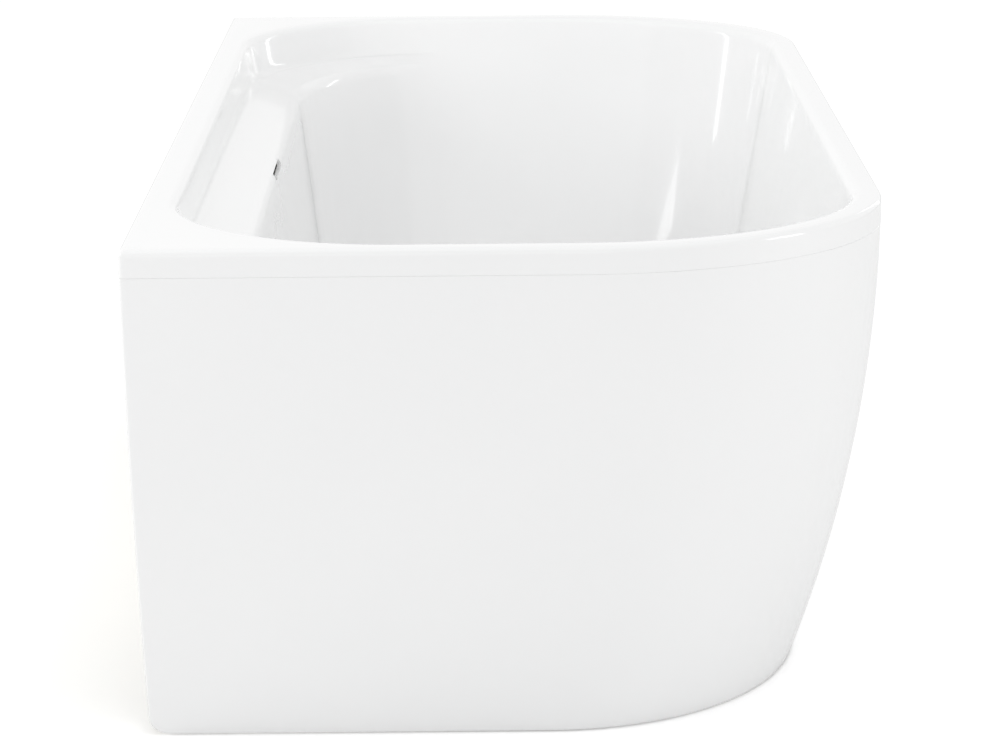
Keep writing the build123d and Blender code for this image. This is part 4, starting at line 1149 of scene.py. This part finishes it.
def hexagon_row(centre, across, level, chamfer_from=None, rise=0.0, steps=HEXAGON_SIDE_STEPS):
    """A hexagon as a row of points. With a chamfer, what stands outside a radius is lowered or raised."""
    flat = across / 2 * math.cos(math.pi / 6)
    points = []
    for step in range(6 * steps):
        angle = 2 * math.pi * step / (6 * steps)
        turn = (angle % (math.pi / 3)) - math.pi / 6
        radius = flat / math.cos(turn)
        over = 0.0 if chamfer_from is None else max(0.0, radius - chamfer_from)
        points.append((centre[0] + radius * math.cos(angle), centre[1] + radius * math.sin(angle),
                       level + rise * over))
    return points


def nut_piece(name, centre, across, low, high, bore):
    """A hexagon nut, chamfered above and below, with its bore."""
    steps = 6 * HEXAGON_SIDE_STEPS
    flat = across / 2 * math.cos(math.pi / 6)
    sink = 0.0004
    nut = start_row(name, circle_row(bore + sink, low, steps, centre))
    pull(nut, circle_row(flat * 0.98, low, steps, centre))
    pull(nut, hexagon_row(centre, across, low + 0.0001, flat, NUT_BEVEL))
    pull(nut, hexagon_row(centre, across, high - 0.0001, flat, -NUT_BEVEL))
    pull(nut, circle_row(flat * 0.98, high, steps, centre), circle_row(bore + sink, high, steps, centre))
    pull(nut, circle_row(bore, high - sink, steps, centre), circle_row(bore, low + sink, steps, centre))
    pull(nut, circle_row(bore + sink, low, steps, centre))
    outward(nut, FINE_MERGE)
    smooth(nut, 25.0)
    return nut


def make_foot_rod(name, centre, low, high):
    """A threaded rod with its hexagon."""
    steps = THREAD_TURNS
    rod = start_row(name, circle_row(ROD_RADIUS * 0.8, low, steps, centre))
    bpy.ops.mesh.edge_face_add()
    thread_low = HEXAGON_HIGH + ROD_END
    thread_high = high - ROD_END
    for level in (low + ROD_END, PAD_TOP, thread_low):
        pull(rod, circle_row(ROD_RADIUS, level, steps, centre))
    count = int((thread_high - thread_low) / THREAD_PITCH * THREAD_LEVELS)
    for number in range(1, count + 1):
        level = between(thread_low, thread_high, number / count)
        pull(rod, thread_row(centre, level, thread_low, thread_high))
    pull(rod, circle_row(ROD_RADIUS * 0.82, high, steps, centre))
    bpy.ops.mesh.edge_face_add()
    outward(rod, FINE_MERGE)
    smooth(rod, 50.0)
    grip = nut_piece("grip", centre, HEXAGON_ACROSS, HEXAGON_LOW, HEXAGON_HIGH, ROD_RADIUS - 0.0002)
    return joined(name, [rod, grip])


def make_foot_pad(name, centre):
    """A swivel pad: flat foot with a grippy edge, a cone, and the neck that holds the rod's ball."""
    profile = [
        (0.0010, 0.0016), (0.0196, 0.0016), (0.0204, 0.0), (0.0228, 0.0), (0.0246, 0.0003), (0.025, 0.0012),
        (0.025, 0.0030), (0.0246, 0.0038), (0.0232, 0.0041), (0.0219, 0.0047), (0.0170, 0.0094),
        (0.0128, 0.0138), (0.0114, 0.0152), (0.0104, 0.01585), (0.0092, 0.016), (0.0072, 0.016),
        (0.0064, 0.0156), (0.0061, 0.0148), (0.0061, 0.0101), (0.0010, 0.0101),
    ]
    pad = turned_piece(name, profile, 48, centre, closed=False)
    smooth(pad, 30.0)
    return pad


for foot in ("near_room", "near_wall", "far_room", "far_wall", "centre"):
    low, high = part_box("foot_rod_" + foot)
    middle = ((low[0] + high[0]) / 2, (low[1] + high[1]) / 2)
    rod = make_foot_rod("threaded_rod_" + foot, middle, low[2], high[2])
    finished(rod, ["foot_rod_" + foot], "foot_" + foot, SCREW_STEEL)
    pad = make_foot_pad("swivel_pad_" + foot, middle)
    finished(pad, ["foot_pad_" + foot], "foot_" + foot, FOOT_PLASTIC)


# Inserts, lock nuts and the centre foot's plate: turned and stamped steel, zinc-plated. Each lock nut is run
# up hard under its insert or under the welded nut.

INSERT_RIM = 0.0015
WALL_FOOT_Y = 0.320
ROOM_FOOT_Y = -0.250
PLATE_CORNER = 0.006

places = [(side * leg_x, y) for side in (-1, 1) for y in (ROOM_FOOT_Y, WALL_FOOT_Y)]
inserts = []
nuts = []
insert_low, insert_high = (corner[2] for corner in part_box("foot_inserts"))
nut_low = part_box("foot_lock_nuts")[0][2]
for number, place in enumerate(places):
    profile = [
        (ROD_RADIUS + BORE_GAP, insert_low + 0.0004), (ROD_RADIUS + BORE_GAP + 0.0004, insert_low),
        (0.0106, insert_low), (0.011, insert_low + 0.0004), (0.011, insert_low + INSERT_RIM - 0.0003),
        (0.0107, insert_low + INSERT_RIM), (0.0085, insert_low + INSERT_RIM), (0.0085, insert_high - 0.0005),
        (0.0080, insert_high), (ROD_RADIUS + BORE_GAP, insert_high),
    ]
    insert = turned_piece("insert_%d" % number, profile, 40, place)
    smooth(insert, 30.0)
    inserts.append(insert)
    nuts.append(nut_piece("nut_%d" % number, place, NUT_ACROSS, nut_low, insert_low, ROD_RADIUS + BORE_GAP))
finished(joined("leg_inserts", inserts), ["foot_inserts"], "bath", SCREW_STEEL)

plate_low, plate_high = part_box("centre_foot_plate")
nut_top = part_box("foot_lock_nuts")[1][2]
nuts.append(nut_piece("nut_centre", CENTRE_FOOT, NUT_ACROSS, nut_top - (insert_low - nut_low), nut_top,
                      ROD_RADIUS + BORE_GAP))
finished(joined("lock_nuts", nuts), ["foot_lock_nuts"], "bath", SCREW_STEEL)


def plate_row(reach_x, reach_y, level, corner):
    """A rectangle with round corners about the centre foot, as a row of points."""
    points = []
    for turn, (u, v) in enumerate(((1, 1), (-1, 1), (-1, -1), (1, -1))):
        for step in range(6):
            angle = math.radians(90 * turn + 90 * step / 5)
            x = CENTRE_FOOT[0] + u * (reach_x - corner) + corner * math.cos(angle)
            y = CENTRE_FOOT[1] + v * (reach_y - corner) + corner * math.sin(angle)
            points.append((x, y, level))
    return points


def make_centre_plate():
    """The stamped plate with its hole, and the nut welded under it."""
    reach_x, reach_y = ((high - low) / 2 for low, high in zip(plate_low[:2], plate_high[:2]))
    under = plate_high[2] - STEEL
    ease = 0.0004
    hole = ROD_RADIUS + BORE_GAP
    plate = start_row("board_plate", plate_row(reach_x - ease, reach_y - ease, under, PLATE_CORNER - ease))
    pull(plate, plate_row(reach_x, reach_y, under + ease, PLATE_CORNER))
    pull(plate, plate_row(reach_x, reach_y, plate_high[2] - ease, PLATE_CORNER))
    pull(plate, plate_row(reach_x - ease, reach_y - ease, plate_high[2], PLATE_CORNER - ease))
    # The hole's points are turned so that they face the points of the outline.
    tilt = math.radians(45)
    around = []
    for step in range(24):
        angle = tilt + 2 * math.pi * (step + 0.5 - 3) / 24
        around.append((CENTRE_FOOT[0] + hole * math.cos(angle), CENTRE_FOOT[1] + hole * math.sin(angle)))
    for level in (plate_high[2], under):
        pull(plate, [(x, y, level) for x, y in around])
    pull(plate, plate_row(reach_x - ease, reach_y - ease, under, PLATE_CORNER - ease))
    outward(plate, FINE_MERGE)
    smooth(plate, 30.0)
    nut = nut_piece("welded_nut", CENTRE_FOOT, NUT_ACROSS, plate_low[2], under, hole)
    weld = [(0.0090, under - 0.0016), (0.0112, under - 0.0010), (0.0122, under), (0.0090, under)]
    bead = turned_piece("weld", weld, 36, CENTRE_FOOT)
    smooth(bead, 40.0)
    return joined("centre_plate", [plate, nut, bead])


finished(make_centre_plate(), ["centre_foot_plate"], "bath", TIE_ZINC)


# Waste: a chrome-plated brass flange with a dished top, a sleeve and a cross of spokes, drawn down on a
# rubber seal. The white plastic body screws onto the sleeve from below, against a second seal.

WASTE_TURNS = 72
FLANGE_RADIUS = 0.034
SEAT_RADIUS = 0.029
SLEEVE_OUT = 0.022
SLEEVE_IN = 0.0195
BOSS_RADIUS = 0.008
SPOKE_WIDTH = 0.003
SPOKE_HEIGHT = 0.005


def chrome_finish():
    """Polished chrome plate with the faintest wiping marks."""
    finish, shader, place = new_finish("polished_chrome")
    smears = noise(place, 120.0, 4.0, 0.6, 0.6)
    feed(shader, {
        "Base Color": blended(smears, rgb(0.84, 0.85, 0.865), rgb(0.88, 0.885, 0.895)),
        "Metallic": 1.0,
        "Roughness": 0.03 + 0.06 * smears,
        "Normal": bumped(smears, 0.02, 0.0001),
    })
    return finish


def pipe_plastic_finish(name, light, dark, gloss):
    """Moulded white polypropylene: satin, with faint flow clouds and a fine skin."""
    finish, shader, place = new_finish(name)
    flow = noise(place, 26.0, 3.0, 0.5, 0.8)
    skin = noise(place, 900.0, 2.0)
    feed(shader, {
        "Base Color": blended(flow, rgb(*light), rgb(*dark)),
        "Roughness": gloss + 0.14 * flow,
        "Normal": bumped(skin, 0.12, 0.0001),
    })
    return finish


def rubber_finish():
    """Black moulded rubber, dull, with a bloom of paler dust."""
    finish, shader, place = new_finish("seal_rubber_black")
    bloom = noise(place, 160.0, 4.0)
    feed(shader, {
        "Base Color": blended(ramp(bloom, 0.45, 0.8), rgb(0.045, 0.045, 0.048), rgb(0.085, 0.085, 0.088)),
        "Roughness": 0.7 + 0.2 * bloom,
        "Normal": bumped(bloom, 0.25, 0.0002),
    })
    return finish


CHROME = chrome_finish()
PIPE_PLASTIC = pipe_plastic_finish("white_pipe_plastic", (0.86, 0.87, 0.87), (0.82, 0.83, 0.835), 0.3)
RUBBER = rubber_finish()


def refinished(node, finish):
    """A construction piece that keeps its own mesh and gets a finish."""
    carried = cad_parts[node]
    carried.data.materials.clear()
    carried.data.materials.append(finish)


flange_low, flange_high = (corner[2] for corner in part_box("waste_flange"))
seat = flange_high - 0.003
flange_profile = [
    (0.0238, seat), (FLANGE_RADIUS - 0.0006, seat), (FLANGE_RADIUS, seat + 0.0006),
    (FLANGE_RADIUS, flange_high - 0.0012), (FLANGE_RADIUS - 0.0004, flange_high - 0.0004),
    (FLANGE_RADIUS - 0.0012, flange_high),
    (SEAT_RADIUS + 0.0012, flange_high), (SEAT_RADIUS + 0.0004, flange_high - 0.0003),
    (SEAT_RADIUS, flange_high - 0.0010), (SEAT_RADIUS - 0.0006, seat + 0.0014),
    (SEAT_RADIUS - 0.0016, seat + 0.001),
    (SLEEVE_IN + 0.0016, seat + 0.001), (SLEEVE_IN + 0.0004, seat + 0.0004), (SLEEVE_IN, seat - 0.0010),
    (SLEEVE_IN, flange_low + 0.0004), (SLEEVE_IN + 0.0004, flange_low), (SLEEVE_OUT - 0.0004, flange_low),
    (SLEEVE_OUT, flange_low + 0.0004), (SLEEVE_OUT, seat - 0.0006), (SLEEVE_OUT + 0.0006, seat),
]
boss_low = seat - 0.026
boss_high = boss_low + 0.008
boss_profile = [
    (0.0051, boss_low), (BOSS_RADIUS - 0.0005, boss_low), (BOSS_RADIUS, boss_low + 0.0005),
    (BOSS_RADIUS, boss_high - 0.0006), (BOSS_RADIUS - 0.0006, boss_high), (0.0055, boss_high),
    (0.0051, boss_high - 0.0004),
]
flange_parts = [
    turned_piece("flange_ring", flange_profile, WASTE_TURNS, WASTE),
    turned_piece("flange_boss", boss_profile, 40, WASTE),
]
spoke_level = seat - 0.023
for turn in range(4):
    spoke = box_piece("spoke", (0.0074, -SPOKE_WIDTH / 2, spoke_level - SPOKE_HEIGHT / 2),
                      (SLEEVE_IN + 0.0006, SPOKE_WIDTH / 2, spoke_level + SPOKE_HEIGHT / 2), 0.0007)
    spoke.data.transform(Matrix.Translation((*WASTE, 0.0)) @ Matrix.Rotation(math.pi / 2 * turn, 4, "Z"))
    flange_parts.append(spoke)
flange = joined("chrome_flange", flange_parts)
smooth(flange, 35.0)
finished(flange, ["waste_flange"], "bath", CHROME)

for node in ("flange_seal", "body_seal"):
    refinished(node, RUBBER)

waste_body = eased_copy("white_waste_body", "waste_body", 0.0003, 1)
finished(waste_body, ["waste_body"], "bath", PIPE_PLASTIC)


# Push plug: a chrome-plated cap with a shallow dome and a rubber ring under its edge, on a stem that slides
# in a plastic guide. A stainless spring round the stem lifts it.

CAP_RADIUS = 0.031
SPRING_TURNS = 6
SPRING_WIRE = 0.0009
SPRING_RADIUS = 0.0055
SPRING_STEPS = 20
WIRE_STEPS = 10


def spring_steel_finish():
    """Drawn stainless wire and strip, bright, with lines along it."""
    finish, shader, place = new_finish("bright_spring_steel")
    lines = noise(place, 700.0, 3.0)
    feed(shader, {
        "Base Color": blended(lines, rgb(0.66, 0.66, 0.67), rgb(0.76, 0.76, 0.77)),
        "Metallic": 1.0,
        "Roughness": 0.14 + 0.14 * lines,
        "Normal": bumped(lines, 0.08, 0.0001),
    })
    return finish


SPRING_STEEL = spring_steel_finish()

cap_low, cap_high = (corner[2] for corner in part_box("plug_cap"))
dome_fall = cap_high - cap_low - 0.0012
dome = [(CAP_RADIUS * share, cap_high - dome_fall * share ** 4) for share in (0.03, 0.2, 0.4, 0.6, 0.75)]
cap_profile = dome + [
    (0.0268, cap_high - 0.0008), (0.0290, cap_high - 0.00125), (0.0303, cap_high - 0.0017),
    (0.0309, cap_high - 0.0023), (CAP_RADIUS, cap_low + 0.0006), (0.0306, cap_low), (0.001, cap_low),
]
cap = turned_piece("chrome_plug_cap", cap_profile, WASTE_TURNS, WASTE, closed=False)
smooth(cap, 30.0)
finished(cap, ["plug_cap"], "plug", CHROME)

stem_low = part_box("plug_stem")[0][2]
stem_profile = [
    (0.001, stem_low), (0.0044, stem_low), (0.005, stem_low + 0.0005), (0.005, stem_low + 0.0025),
    (0.0046, stem_low + 0.003), (0.0035, stem_low + 0.003), (0.0035, stem_low + 0.020), (0.0035, cap_low),
    (0.001, cap_low),
]
stem = turned_piece("plug_rod", stem_profile, 32, WASTE, closed=False)
smooth(stem, 30.0)
finished(stem, ["plug_stem"], "plug", CHROME)
refinished("plug_seal", RUBBER)
refinished("plug_guide", PIPE_PLASTIC)


def make_plug_spring():
    """The spring: round wire wound in even coils, with its end coils closed up."""
    low, high = (corner[2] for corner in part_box("plug_spring"))
    wire_low = low + SPRING_WIRE
    wire_high = high - SPRING_WIRE
    count = SPRING_TURNS * SPRING_STEPS
    rows = []
    for number in range(count + 1):
        share = number / count
        angle = 2 * math.pi * SPRING_TURNS * share
        # The first and last turns lie flat.
        climb = min(1.0, max(0.0, (share * SPRING_TURNS - 0.9) / (SPRING_TURNS - 1.8)))
        level = between(wire_low, wire_high, climb * 0.9 + share * 0.1)
        out = Vector((math.cos(angle), math.sin(angle), 0.0))
        centre = Vector((WASTE[0], WASTE[1], level)) + out * SPRING_RADIUS
        row = []
        for step in range(WIRE_STEPS):
            turn = 2 * math.pi * step / WIRE_STEPS
            row.append(tuple(centre + SPRING_WIRE * (out * math.cos(turn) + Vector((0, 0, math.sin(turn))))))
        rows.append(row)
    spring = start_row("plug_coil_spring", rows[0])
    bpy.ops.mesh.edge_face_add()
    pull(spring, *rows[1:])
    bpy.ops.mesh.edge_face_add()
    outward(spring, 0.000002)
    smooth(spring, 40.0)
    return spring, low, high


spring, spring_low, spring_high = make_plug_spring()
finished(spring, ["plug_spring"], "bath", SPRING_STEEL)
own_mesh(spring)


# Overflow: a moulded box over the back of the slot, on a rubber gasket, and a ribbed hose from its spigot
# down to the port of the waste. The hose is blow-moulded, with plain cuffs held by worm clips.

HOSE_BORE = 0.014
HOSE_VALLEY = 0.016
HOSE_CREST = 0.019
HOSE_CUFF = 0.020
HOSE_PITCH = 0.008
HOSE_BEND = 0.070
HOSE_TURNS = 32
HOSE_Y = 0.326
HOSE_TOP = 0.429
HOSE_LEVEL = 0.101
HOSE_END_Y = 0.124
HOSE_LIP = 0.0006
HOSE_EASE = 0.0004
BORE_EASE = 0.0003
BORE_STEPS = 40

# One rib: places along its pitch, and heights from valley to crest.
RIB = (
    (0.06, 0.0), (0.16, 0.35), (0.26, 0.85), (0.36, 1.0),
    (0.54, 1.0), (0.64, 0.85), (0.74, 0.35), (0.84, 0.0),
)

HOSE_PLASTIC = pipe_plastic_finish("ribbed_hose_plastic", (0.80, 0.81, 0.82), (0.74, 0.75, 0.765), 0.36)

box = eased_copy("overflow_box_white", "overflow_box", 0.0008, 2)
finished(box, ["overflow_box"], "bath", PIPE_PLASTIC)
refinished("overflow_gasket", RUBBER)

hose_straight = HOSE_TOP - HOSE_LEVEL - HOSE_BEND
hose_curved = HOSE_BEND * math.pi / 2
hose_whole = hose_straight + hose_curved + HOSE_Y - HOSE_BEND - HOSE_END_Y


def hose_row(distance, radius):
    """A circle round the hose's middle line, at one distance along it."""
    if distance <= hose_straight:
        centre = Vector((0.0, HOSE_Y, HOSE_TOP - distance))
        turn = 0.0
    elif distance <= hose_straight + hose_curved:
        turn = (distance - hose_straight) / HOSE_BEND
        centre = Vector((0.0, HOSE_Y - HOSE_BEND * (1 - math.cos(turn)),
                         HOSE_LEVEL + HOSE_BEND * (1 - math.sin(turn))))
    else:
        turn = math.pi / 2
        past = distance - hose_straight - hose_curved
        centre = Vector((0.0, HOSE_Y - HOSE_BEND - past, HOSE_LEVEL))
    outside = Vector((0.0, math.cos(turn), -math.sin(turn)))
    across = Vector((1.0, 0.0, 0.0))
    points = []
    for step in range(HOSE_TURNS):
        angle = 2 * math.pi * step / HOSE_TURNS
        points.append(tuple(centre + radius * (across * math.cos(angle) + outside * math.sin(angle))))
    return points


def make_hose():
    """The ribbed hose: outside from cuff to cuff, then back through its bore."""
    ribs = int((hose_whole - 2 * HOSE_CUFF) / HOSE_PITCH)
    pitch = (hose_whole - 2 * HOSE_CUFF) / ribs
    bore = HOSE_BORE + 0.0001
    hose = start_row("ribbed_hose", hose_row(0.0, bore + BORE_EASE))
    pull(hose, hose_row(0.0, HOSE_VALLEY - HOSE_EASE), hose_row(HOSE_LIP, HOSE_VALLEY))
    for rib in range(ribs):
        start = HOSE_CUFF + rib * pitch
        for share, height in RIB:
            pull(hose, hose_row(start + share * pitch, between(HOSE_VALLEY, HOSE_CREST, height)))
    pull(hose, hose_row(hose_whole - HOSE_LIP, HOSE_VALLEY), hose_row(hose_whole, HOSE_VALLEY - HOSE_EASE))
    pull(hose, hose_row(hose_whole, bore + BORE_EASE), hose_row(hose_whole - HOSE_LIP, bore))
    for step in range(BORE_STEPS - 1, 0, -1):
        pull(hose, hose_row(hose_whole * step / BORE_STEPS, bore))
    pull(hose, hose_row(HOSE_LIP, bore), hose_row(0.0, bore + BORE_EASE))
    outward(hose, FINE_MERGE)
    smooth(hose, 60.0)
    return hose


finished(make_hose(), ["overflow_hose"], "bath", HOSE_PLASTIC)


# Worm clips: a stainless band with a pressed thread, a housing spot-welded over its end, and a worm screw
# that draws the band tight. One holds each cuff of the hose on its spigot.

CLIP_WIDTH = 0.010
CLIP_BAND = 0.0010
BAND_RIBS = 15
BAND_RIB_START = 118
BAND_RIB_TURN = 6
BAND_RIB_LEAN = 8


def model_worm():
    """The worm's ends, which show on both sides of the housing: a slotted hexagon head and a stub."""
    steps = 6 * HEXAGON_SIDE_STEPS
    head = start_row("worm", circle_row(0.0020, -0.0085, steps))
    bpy.ops.mesh.edge_face_add()
    pull(head, circle_row(0.0023, -0.0082, steps), circle_row(0.0023, 0.0052, steps))
    pull(head, circle_row(0.0034, 0.0052, steps), circle_row(0.0034, 0.0058, steps))
    pull(head, hexagon_row((0.0, 0.0), 0.0062, 0.0058))
    pull(head, hexagon_row((0.0, 0.0), 0.0062, 0.0088, 0.0027, -NUT_BEVEL))
    slot = []
    for x, y, _ in circle_row(0.0024, 0.0088, steps):
        slot.append((x, math.copysign(min(abs(y), 0.0004), y), 0.0088))
    pull(head, circle_row(0.0026, 0.0089, steps), slot, [(x, y, 0.0072) for x, y, _ in slot])
    bpy.ops.mesh.edge_face_add()
    outward(head, FINE_MERGE)
    head.data.transform(Matrix.Translation((0, 0.0203, 0)) @ Matrix.Rotation(math.pi / 2, 4, "Y"))
    return head


def model_clip():
    """A worm clip about an upright axis at the origin: band, pressed ribs, saddle, housing and screw."""
    half = CLIP_WIDTH / 2
    inner = HOSE_VALLEY + 0.0001
    profile = [
        (inner, -half + 0.0004), (inner + 0.0003, -half), (inner + CLIP_BAND - 0.0002, -half),
        (inner + CLIP_BAND, -half + 0.0003), (inner + CLIP_BAND, half - 0.0003),
        (inner + CLIP_BAND - 0.0002, half), (inner + 0.0003, half), (inner, half - 0.0004),
    ]
    made = [turned_piece("band", profile, 64)]
    # The pressed thread: slanted ribs on the part of the band beside the housing.
    for step in range(BAND_RIBS):
        angle = math.radians(BAND_RIB_START + BAND_RIB_TURN * step)
        rib = box_piece("rib", (-0.00035, -0.00015, -0.0031), (0.00035, 0.00025, 0.0031), 0.0001, 1)
        lean = Matrix.Rotation(math.radians(BAND_RIB_LEAN), 4, "Y")
        place = Matrix.Rotation(angle - math.pi / 2, 4, "Z") @ Matrix.Translation((0, inner + CLIP_BAND, 0))
        rib.data.transform(place @ lean)
        made.append(rib)
    saddle = box_piece("saddle", (-0.0085, 0.0155, -0.0049), (0.0085, 0.0176, 0.0049), 0.0005)
    housing = box_piece("housing", (-0.0055, 0.0170, -0.0042), (0.0055, 0.0236, 0.0042), 0.0022, 4)
    clip = joined("clip", made + [saddle, housing, model_worm()])
    smooth(clip, 35.0)
    return clip


clip_model = model_clip()
for end, node in (("upper", "hose_clip_upper"), ("lower", "hose_clip_lower")):
    low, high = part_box(node)
    if end == "upper":
        move = Matrix.Translation((0, HOSE_Y, (low[2] + high[2]) / 2))
    else:
        move = Matrix.Translation((0, (low[1] + high[1]) / 2, HOSE_LEVEL))
        move = move @ Matrix.Rotation(-math.pi / 2, 4, "X")
    clip = clip_model.copy()
    clip.data = clip_model.data.copy()
    clip.data.transform(move)
    clip.name = "worm_clip_" + end
    bpy.context.scene.collection.objects.link(clip)
    finished(clip, [node], "bath", SPRING_STEEL)
bpy.data.objects.remove(clip_model)


# Trap: a bent polypropylene pipe hung from the waste by a union nut on a flat washer, with a cleaning eye
# and cap in its low bend, and an outlet whose nut squeezes a ring onto the waste pipe.

TRAP_EDGE = 0.0004
NUT_EDGE = 0.0006
CAP_RIBS = 20
CAP_RIB_OUT = 0.0140
CAP_RIB_DEPTH = 0.0008

trap = eased_copy("white_trap", "trap_body", TRAP_EDGE, 1)
finished(trap, ["trap_body"], "bath", PIPE_PLASTIC)
for node, name in (("trap_nut", "union_nut"), ("trap_outlet_nut", "outlet_nut")):
    nut = eased_copy(name, node, NUT_EDGE)
    finished(nut, [node], "bath", PIPE_PLASTIC)
for node in ("trap_washer", "trap_outlet_ring"):
    refinished(node, RUBBER)


def ribbed_row(radius, depth, level):
    """A circle with a groove between each pair of ribs, as a row of points."""
    points = []
    for step in range(CAP_RIBS * 4):
        angle = 2 * math.pi * step / (CAP_RIBS * 4)
        reach = radius if step % 4 < 2 else radius - depth
        points.append((reach * math.cos(angle), reach * math.sin(angle), level))
    return points


def make_cleaning_cap():
    """The cap of the cleaning eye, milled round its edge, with a raised bar to turn it by."""
    steps = CAP_RIBS * 4
    cap = start_row("cleaning_cap", circle_row(0.0111, 0.0, steps))
    pull(cap, ribbed_row(0.0138, 0.0006, 0.0))
    pull(cap, ribbed_row(CAP_RIB_OUT, CAP_RIB_DEPTH, 0.0004), ribbed_row(CAP_RIB_OUT, CAP_RIB_DEPTH, 0.0056))
    pull(cap, ribbed_row(0.0136, 0.0006, 0.0062))
    pull(cap, circle_row(0.0122, 0.0066, steps), circle_row(0.0020, 0.0066, steps))
    bpy.ops.mesh.edge_face_add()
    bpy.ops.mesh.select_all(action="DESELECT")
    outward(cap, FINE_MERGE)
    bar = box_piece("bar", (-0.0095, -0.0016, 0.0060), (0.0095, 0.0016, 0.0080), 0.0006)
    cap = joined("cleaning_cap", [cap, bar])
    low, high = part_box("trap_cleaning_cap")
    place = (high[0], (low[1] + high[1]) / 2, (low[2] + high[2]) / 2)
    cap.data.transform(Matrix.Translation(place) @ Matrix.Rotation(-math.pi / 2, 4, "Y"))
    smooth(cap, 30.0)
    return cap


finished(make_cleaning_cap(), ["trap_cleaning_cap"], "bath", PIPE_PLASTIC)


# Studio: a pale floor, a white room, soft lamps, and the camera at the photograph's place.

FLOOR_SIZE = 80.0
CAMERA_PLACE = (-4.3486, 0.0231, 1.2644)
CAMERA_PITCH = math.radians(13.67)
CAMERA_YAW = math.radians(-0.12)
CAMERA_ROLL = math.radians(0.49)
FOCAL_PIXELS = 3551.9
PICTURE_WIDTH = 1000
SENSOR = 36.0
CLIP_END = 100.0
ROOM_LIGHT = 0.80
FLOOR_TONE = 0.95
FLOOR_GLOW = 0.26
STRIP_SIZE = (0.14, 1.8)
STRIP_POWER = 2.6


def make_floor():
    """The floor: pale, and white to the camera wherever the bath doesn't shade it."""
    deselect()
    bpy.ops.mesh.primitive_plane_add(size=FLOOR_SIZE, location=(0, 0, 0))
    floor = bpy.context.object
    floor.name = "studio_floor"
    finish, shader, place = new_finish("studio_floor_white")
    feed(shader, {"Base Color": rgb(*[FLOOR_TONE] * 3), "Roughness": 0.9, "Specular IOR Level": 0.0})
    tree = finish.node_tree
    rays = place.node("ShaderNodeLightPath")
    glow = place.node("ShaderNodeEmission", {}, {"Color": rgb(1, 1, 1), "Strength": FLOOR_GLOW})
    both = place.node("ShaderNodeAddShader", {}, {0: Shade(tree, shader.outputs[0]), 1: glow})
    seen = place.node("ShaderNodeMixShader", {}, {0: rays, 1: Shade(tree, shader.outputs[0]), 2: both})
    tree.links.new(seen.socket, tree.nodes["Material Output"].inputs["Surface"])
    floor.data.materials.append(finish)


def make_world():
    """A soft white room, plain white to the camera and in reflections."""
    world = bpy.data.worlds.new("studio_room")
    bpy.context.scene.world = world
    world.use_nodes = True
    tree = world.node_tree
    back = tree.nodes["Background"]
    path = tree.nodes.new("ShaderNodeLightPath")
    kinds = ("Is Camera Ray", "Is Glossy Ray", "Is Transmission Ray")
    camera, glossy, through = [Shade(tree, path.outputs[kind]) for kind in kinds]
    direct = camera.sum("MAXIMUM", camera, glossy.sum("MAXIMUM", glossy, through))
    back.inputs["Color"].default_value = rgb(1, 1, 1)
    tree.links.new((ROOM_LIGHT + (1.0 - ROOM_LIGHT) * direct).socket, back.inputs["Strength"])


def soft_lamp(name, place, aim, size, power):
    """A rectangular soft lamp at a place, turned to face a point."""
    deselect()
    bpy.ops.object.light_add(type="AREA", location=place)
    lamp = bpy.context.object
    lamp.name = name
    lamp.data.shape = "RECTANGLE"
    lamp.data.size, lamp.data.size_y = size
    lamp.data.energy = power
    lamp.rotation_euler = (Vector(aim) - Vector(place)).to_track_quat("-Z", "Y").to_euler()


def make_camera():
    """The camera, with the photograph's place, direction and angle of view."""
    along = math.cos(CAMERA_PITCH)
    forward = Vector((along * math.cos(CAMERA_YAW), along * math.sin(CAMERA_YAW), -math.sin(CAMERA_PITCH)))
    level = forward.cross(Vector((0, 0, 1))).normalized()
    rise = level.cross(forward)
    right = level * math.cos(CAMERA_ROLL) - rise * math.sin(CAMERA_ROLL)
    up = right.cross(forward)
    data = bpy.data.cameras.new("photo_camera")
    data.sensor_width = SENSOR
    data.lens = FOCAL_PIXELS / PICTURE_WIDTH * SENSOR
    data.clip_end = CLIP_END
    camera = bpy.data.objects.new("photo_camera", data)
    turn = Matrix((right, up, -forward)).transposed().to_4x4()
    camera.matrix_world = Matrix.Translation(CAMERA_PLACE) @ turn
    bpy.context.scene.collection.objects.link(camera)
    bpy.context.scene.camera = camera


make_floor()
make_world()
soft_lamp("wall_side_lamp", (-0.9, 2.8, 1.5), (0.3, -0.3, 0.4), (2.2, 1.0), 17.0)
soft_lamp("corner_lamp", (-1.6, -4.0, 0.9), (-0.6, -0.3, 0.3), (1.2, 1.2), 14.0)
soft_lamp("high_lamp", (-0.6, 0.1, 3.2), (0.4, 0.0, 0.3), (5.0, 4.0), 13.0)
soft_lamp("low_front_lamp", (-4.6, 0.3, 0.45), (-0.85, 0.0, 0.1), (2.4, 0.7), 3.0)
soft_lamp("wall_side_strip", (1.6, 2.6, 1.5), (0.65, -0.3, 0.4), STRIP_SIZE, STRIP_POWER)
soft_lamp("room_side_strip", (2.7, -2.0, 1.3), (0.6, 0.3, 0.45), STRIP_SIZE, STRIP_POWER)
make_camera()
bpy.context.scene.view_settings.view_transform = "Standard"
